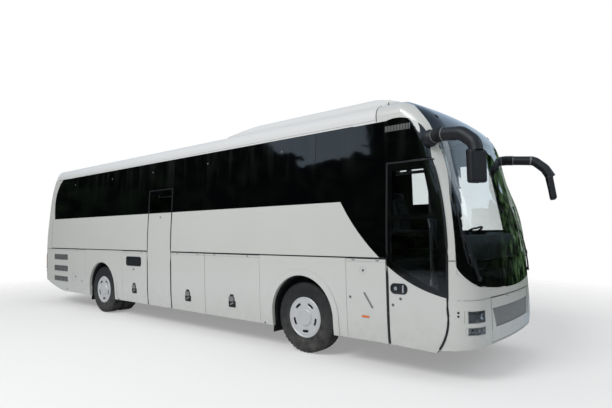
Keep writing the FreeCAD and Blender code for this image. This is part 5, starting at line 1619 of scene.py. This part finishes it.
def studio():
    """Even light for the coach, white behind it, and for its gloss a clear sky over a line of trees."""
    world = bpy.data.worlds.new("studio")
    bpy.context.scene.world = world
    world.use_nodes = True
    tree = world.node_tree
    background = tree.nodes["Background"]
    place = tree.nodes.new("ShaderNodeTexCoord").outputs["Generated"]
    parts = tree.nodes.new("ShaderNodeSeparateXYZ")
    tree.links.new(place, parts.inputs["Vector"])

    def noise(scale, detail):
        made = tree.nodes.new("ShaderNodeTexNoise")
        made.inputs["Scale"].default_value = scale
        made.inputs["Detail"].default_value = detail
        tree.links.new(place, made.inputs["Vector"])
        return made.outputs["Fac"]

    def maths(operation, first, second):
        made = tree.nodes.new("ShaderNodeMath")
        made.operation = operation
        for socket, value in zip(made.inputs, (first, second)):
            if isinstance(value, (int, float)):
                socket.default_value = value
            else:
                tree.links.new(value, socket)
        return made.outputs["Value"]

    def ramp(source, stops):
        made = tree.nodes.new("ShaderNodeValToRGB")
        band = made.color_ramp
        while len(band.elements) < len(stops):
            band.elements.new(0.5)
        for element, (position, colour) in zip(band.elements, stops):
            element.position = position
            element.color = (*colour, 1.0)
        tree.links.new(source, made.inputs["Fac"])
        return made.outputs["Color"]

    def mix(share, first, second):
        made = tree.nodes.new("ShaderNodeMix")
        made.data_type = "RGBA"
        tree.links.new(share, made.inputs["Factor"])
        for key, value in (("A", first), ("B", second)):
            if isinstance(value, tuple):
                made.inputs[key].default_value = (*value, 1.0)
            else:
                tree.links.new(value, made.inputs[key])
        return made.outputs["Result"]

    speckle = noise(34.0, 8.0)
    shaded = ramp(speckle, ((0.42, (0.001, 0.002, 0.001)), (0.66, (0.020, 0.030, 0.016))))
    sunlit = ramp(speckle, ((0.46, (0.004, 0.008, 0.004)), (0.55, (0.05, 0.11, 0.04)),
                            (0.68, (0.20, 0.32, 0.15))))
    ahead = ramp(maths("ADD", parts.outputs["X"], 0.5), ((0.15, (0.0, 0.0, 0.0)), (0.4, (1.0, 1.0, 1.0)),
                                                        (0.68, (1.0, 1.0, 1.0)), (0.9, (0.0, 0.0, 0.0))))
    leaves = mix(ahead, shaded, sunlit)
    sky = ramp(parts.outputs["Z"], ((0.1, (0.70, 0.86, 1.0)), (0.45, (0.48, 0.62, 0.78)),
                                    (1.0, (0.22, 0.32, 0.46))))
    ragged = maths("MULTIPLY_ADD", noise(7.0, 8.0), 0.34)
    tall_ahead = maths("MULTIPLY", maths("GREATER_THAN", parts.outputs["X"], -0.52), 0.12)
    tall_behind = maths("MULTIPLY", maths("LESS_THAN", parts.outputs["X"], -0.70), 0.08)
    right_side = maths("LESS_THAN", parts.outputs["Y"], 0.0)
    beside = maths("MULTIPLY", maths("ADD", tall_ahead, tall_behind), right_side)
    tree.links.new(maths("ADD", beside, TREE_LINE - 0.17), ragged.node.inputs[2])
    above = maths("GREATER_THAN", parts.outputs["Z"], ragged)
    outdoors = mix(above, leaves, sky)
    ground = maths("LESS_THAN", parts.outputs["Z"], -0.12)
    outdoors = mix(ground, outdoors, (0.06, 0.06, 0.06))
    rays = tree.nodes.new("ShaderNodeLightPath")
    bounced = maths("ADD", rays.outputs["Diffuse Depth"], rays.outputs["Glossy Depth"])
    through = maths("MULTIPLY", rays.outputs["Is Transmission Ray"], maths("LESS_THAN", bounced, 0.5))
    shown = maths("MAXIMUM", rays.outputs["Is Camera Ray"], through)
    mirrored = maths("GREATER_THAN", rays.outputs["Glossy Depth"], 0.5)
    lit = mix(mirrored, (AMBIENT, AMBIENT, AMBIENT), outdoors)
    final = mix(shown, lit, (1.0, 1.0, 1.0))
    tree.links.new(final, background.inputs["Color"])
    background.inputs["Strength"].default_value = 1.0


def lamp(name, place, aim, size, watts, colour=(1.0, 1.0, 1.0)):
    data = bpy.data.lights.new(name, "AREA")
    data.shape = "DISK"
    data.size = size
    data.energy = watts
    data.color = colour
    made = bpy.data.objects.new(name, data)
    made.location = place
    made.rotation_euler = (Vector(aim) - Vector(place)).to_track_quat("-Z", "Y").to_euler()
    bpy.context.scene.collection.objects.link(made)


studio()
lamp("key", (1.5, -15.0, 14.0), (0.0, 0.0, 1.5), 9.0, 1900.0)
lamp("fill", (16.0, 2.0, 9.0), (3.0, 0.0, 1.5), 7.0, 230.0, (0.85, 0.93, 1.0))


def ground():
    """A wide pale floor that keeps the coach's shadow and melts into the white behind it."""
    mesh = bpy.data.meshes.new("floor")
    edge = 40.0
    corners = [(-edge, -edge, 0.0), (edge, -edge, 0.0), (edge, edge, 0.0), (-edge, edge, 0.0)]
    mesh.from_pydata(corners, [], [(0, 1, 2, 3)])
    floor = bpy.data.objects.new("floor", mesh)
    bpy.context.scene.collection.objects.link(floor)
    look = Look("studio_floor", (0.93, 0.93, 0.93), 0.95)
    look.mottle(0.4, 0.01, 0.02)
    distance = look.node("ShaderNodeVectorMath", operation="LENGTH")
    look.link(look.place, distance.inputs[0])
    solid = look.ramp(distance.outputs["Value"], 6.5, 13.0, 0.72, 0.0)
    look.link(solid, look.shader.inputs["Alpha"])
    mesh.materials.append(look.material)


ground()


def camera():
    """The photograph's viewpoint: a standing person's eye height, off the front right corner."""
    yaw, pitch, roll = math.radians(129.893), math.radians(3.375), math.radians(0.504)
    ahead = Vector((math.cos(pitch) * math.cos(yaw), math.cos(pitch) * math.sin(yaw), math.sin(pitch)))
    across = ahead.cross(UP).normalized()
    down = ahead.cross(across)
    right = across * math.cos(roll) + down * math.sin(roll)
    below = down * math.cos(roll) - across * math.sin(roll)
    data = bpy.data.cameras.new("camera")
    data.lens = 27.47
    data.sensor_width = 36.0
    data.shift_x = 0.0023
    data.shift_y = 0.0032
    data.clip_end = 300.0
    made = bpy.data.objects.new("camera", data)
    turned = Matrix((right, -below, -ahead)).transposed().to_4x4()
    made.matrix_world = Matrix.Translation((7.7733, -6.6089, 1.7802)) @ turned
    bpy.context.scene.collection.objects.link(made)
    bpy.context.scene.camera = made


camera()
bpy.context.scene.view_settings.view_transform = "Standard"
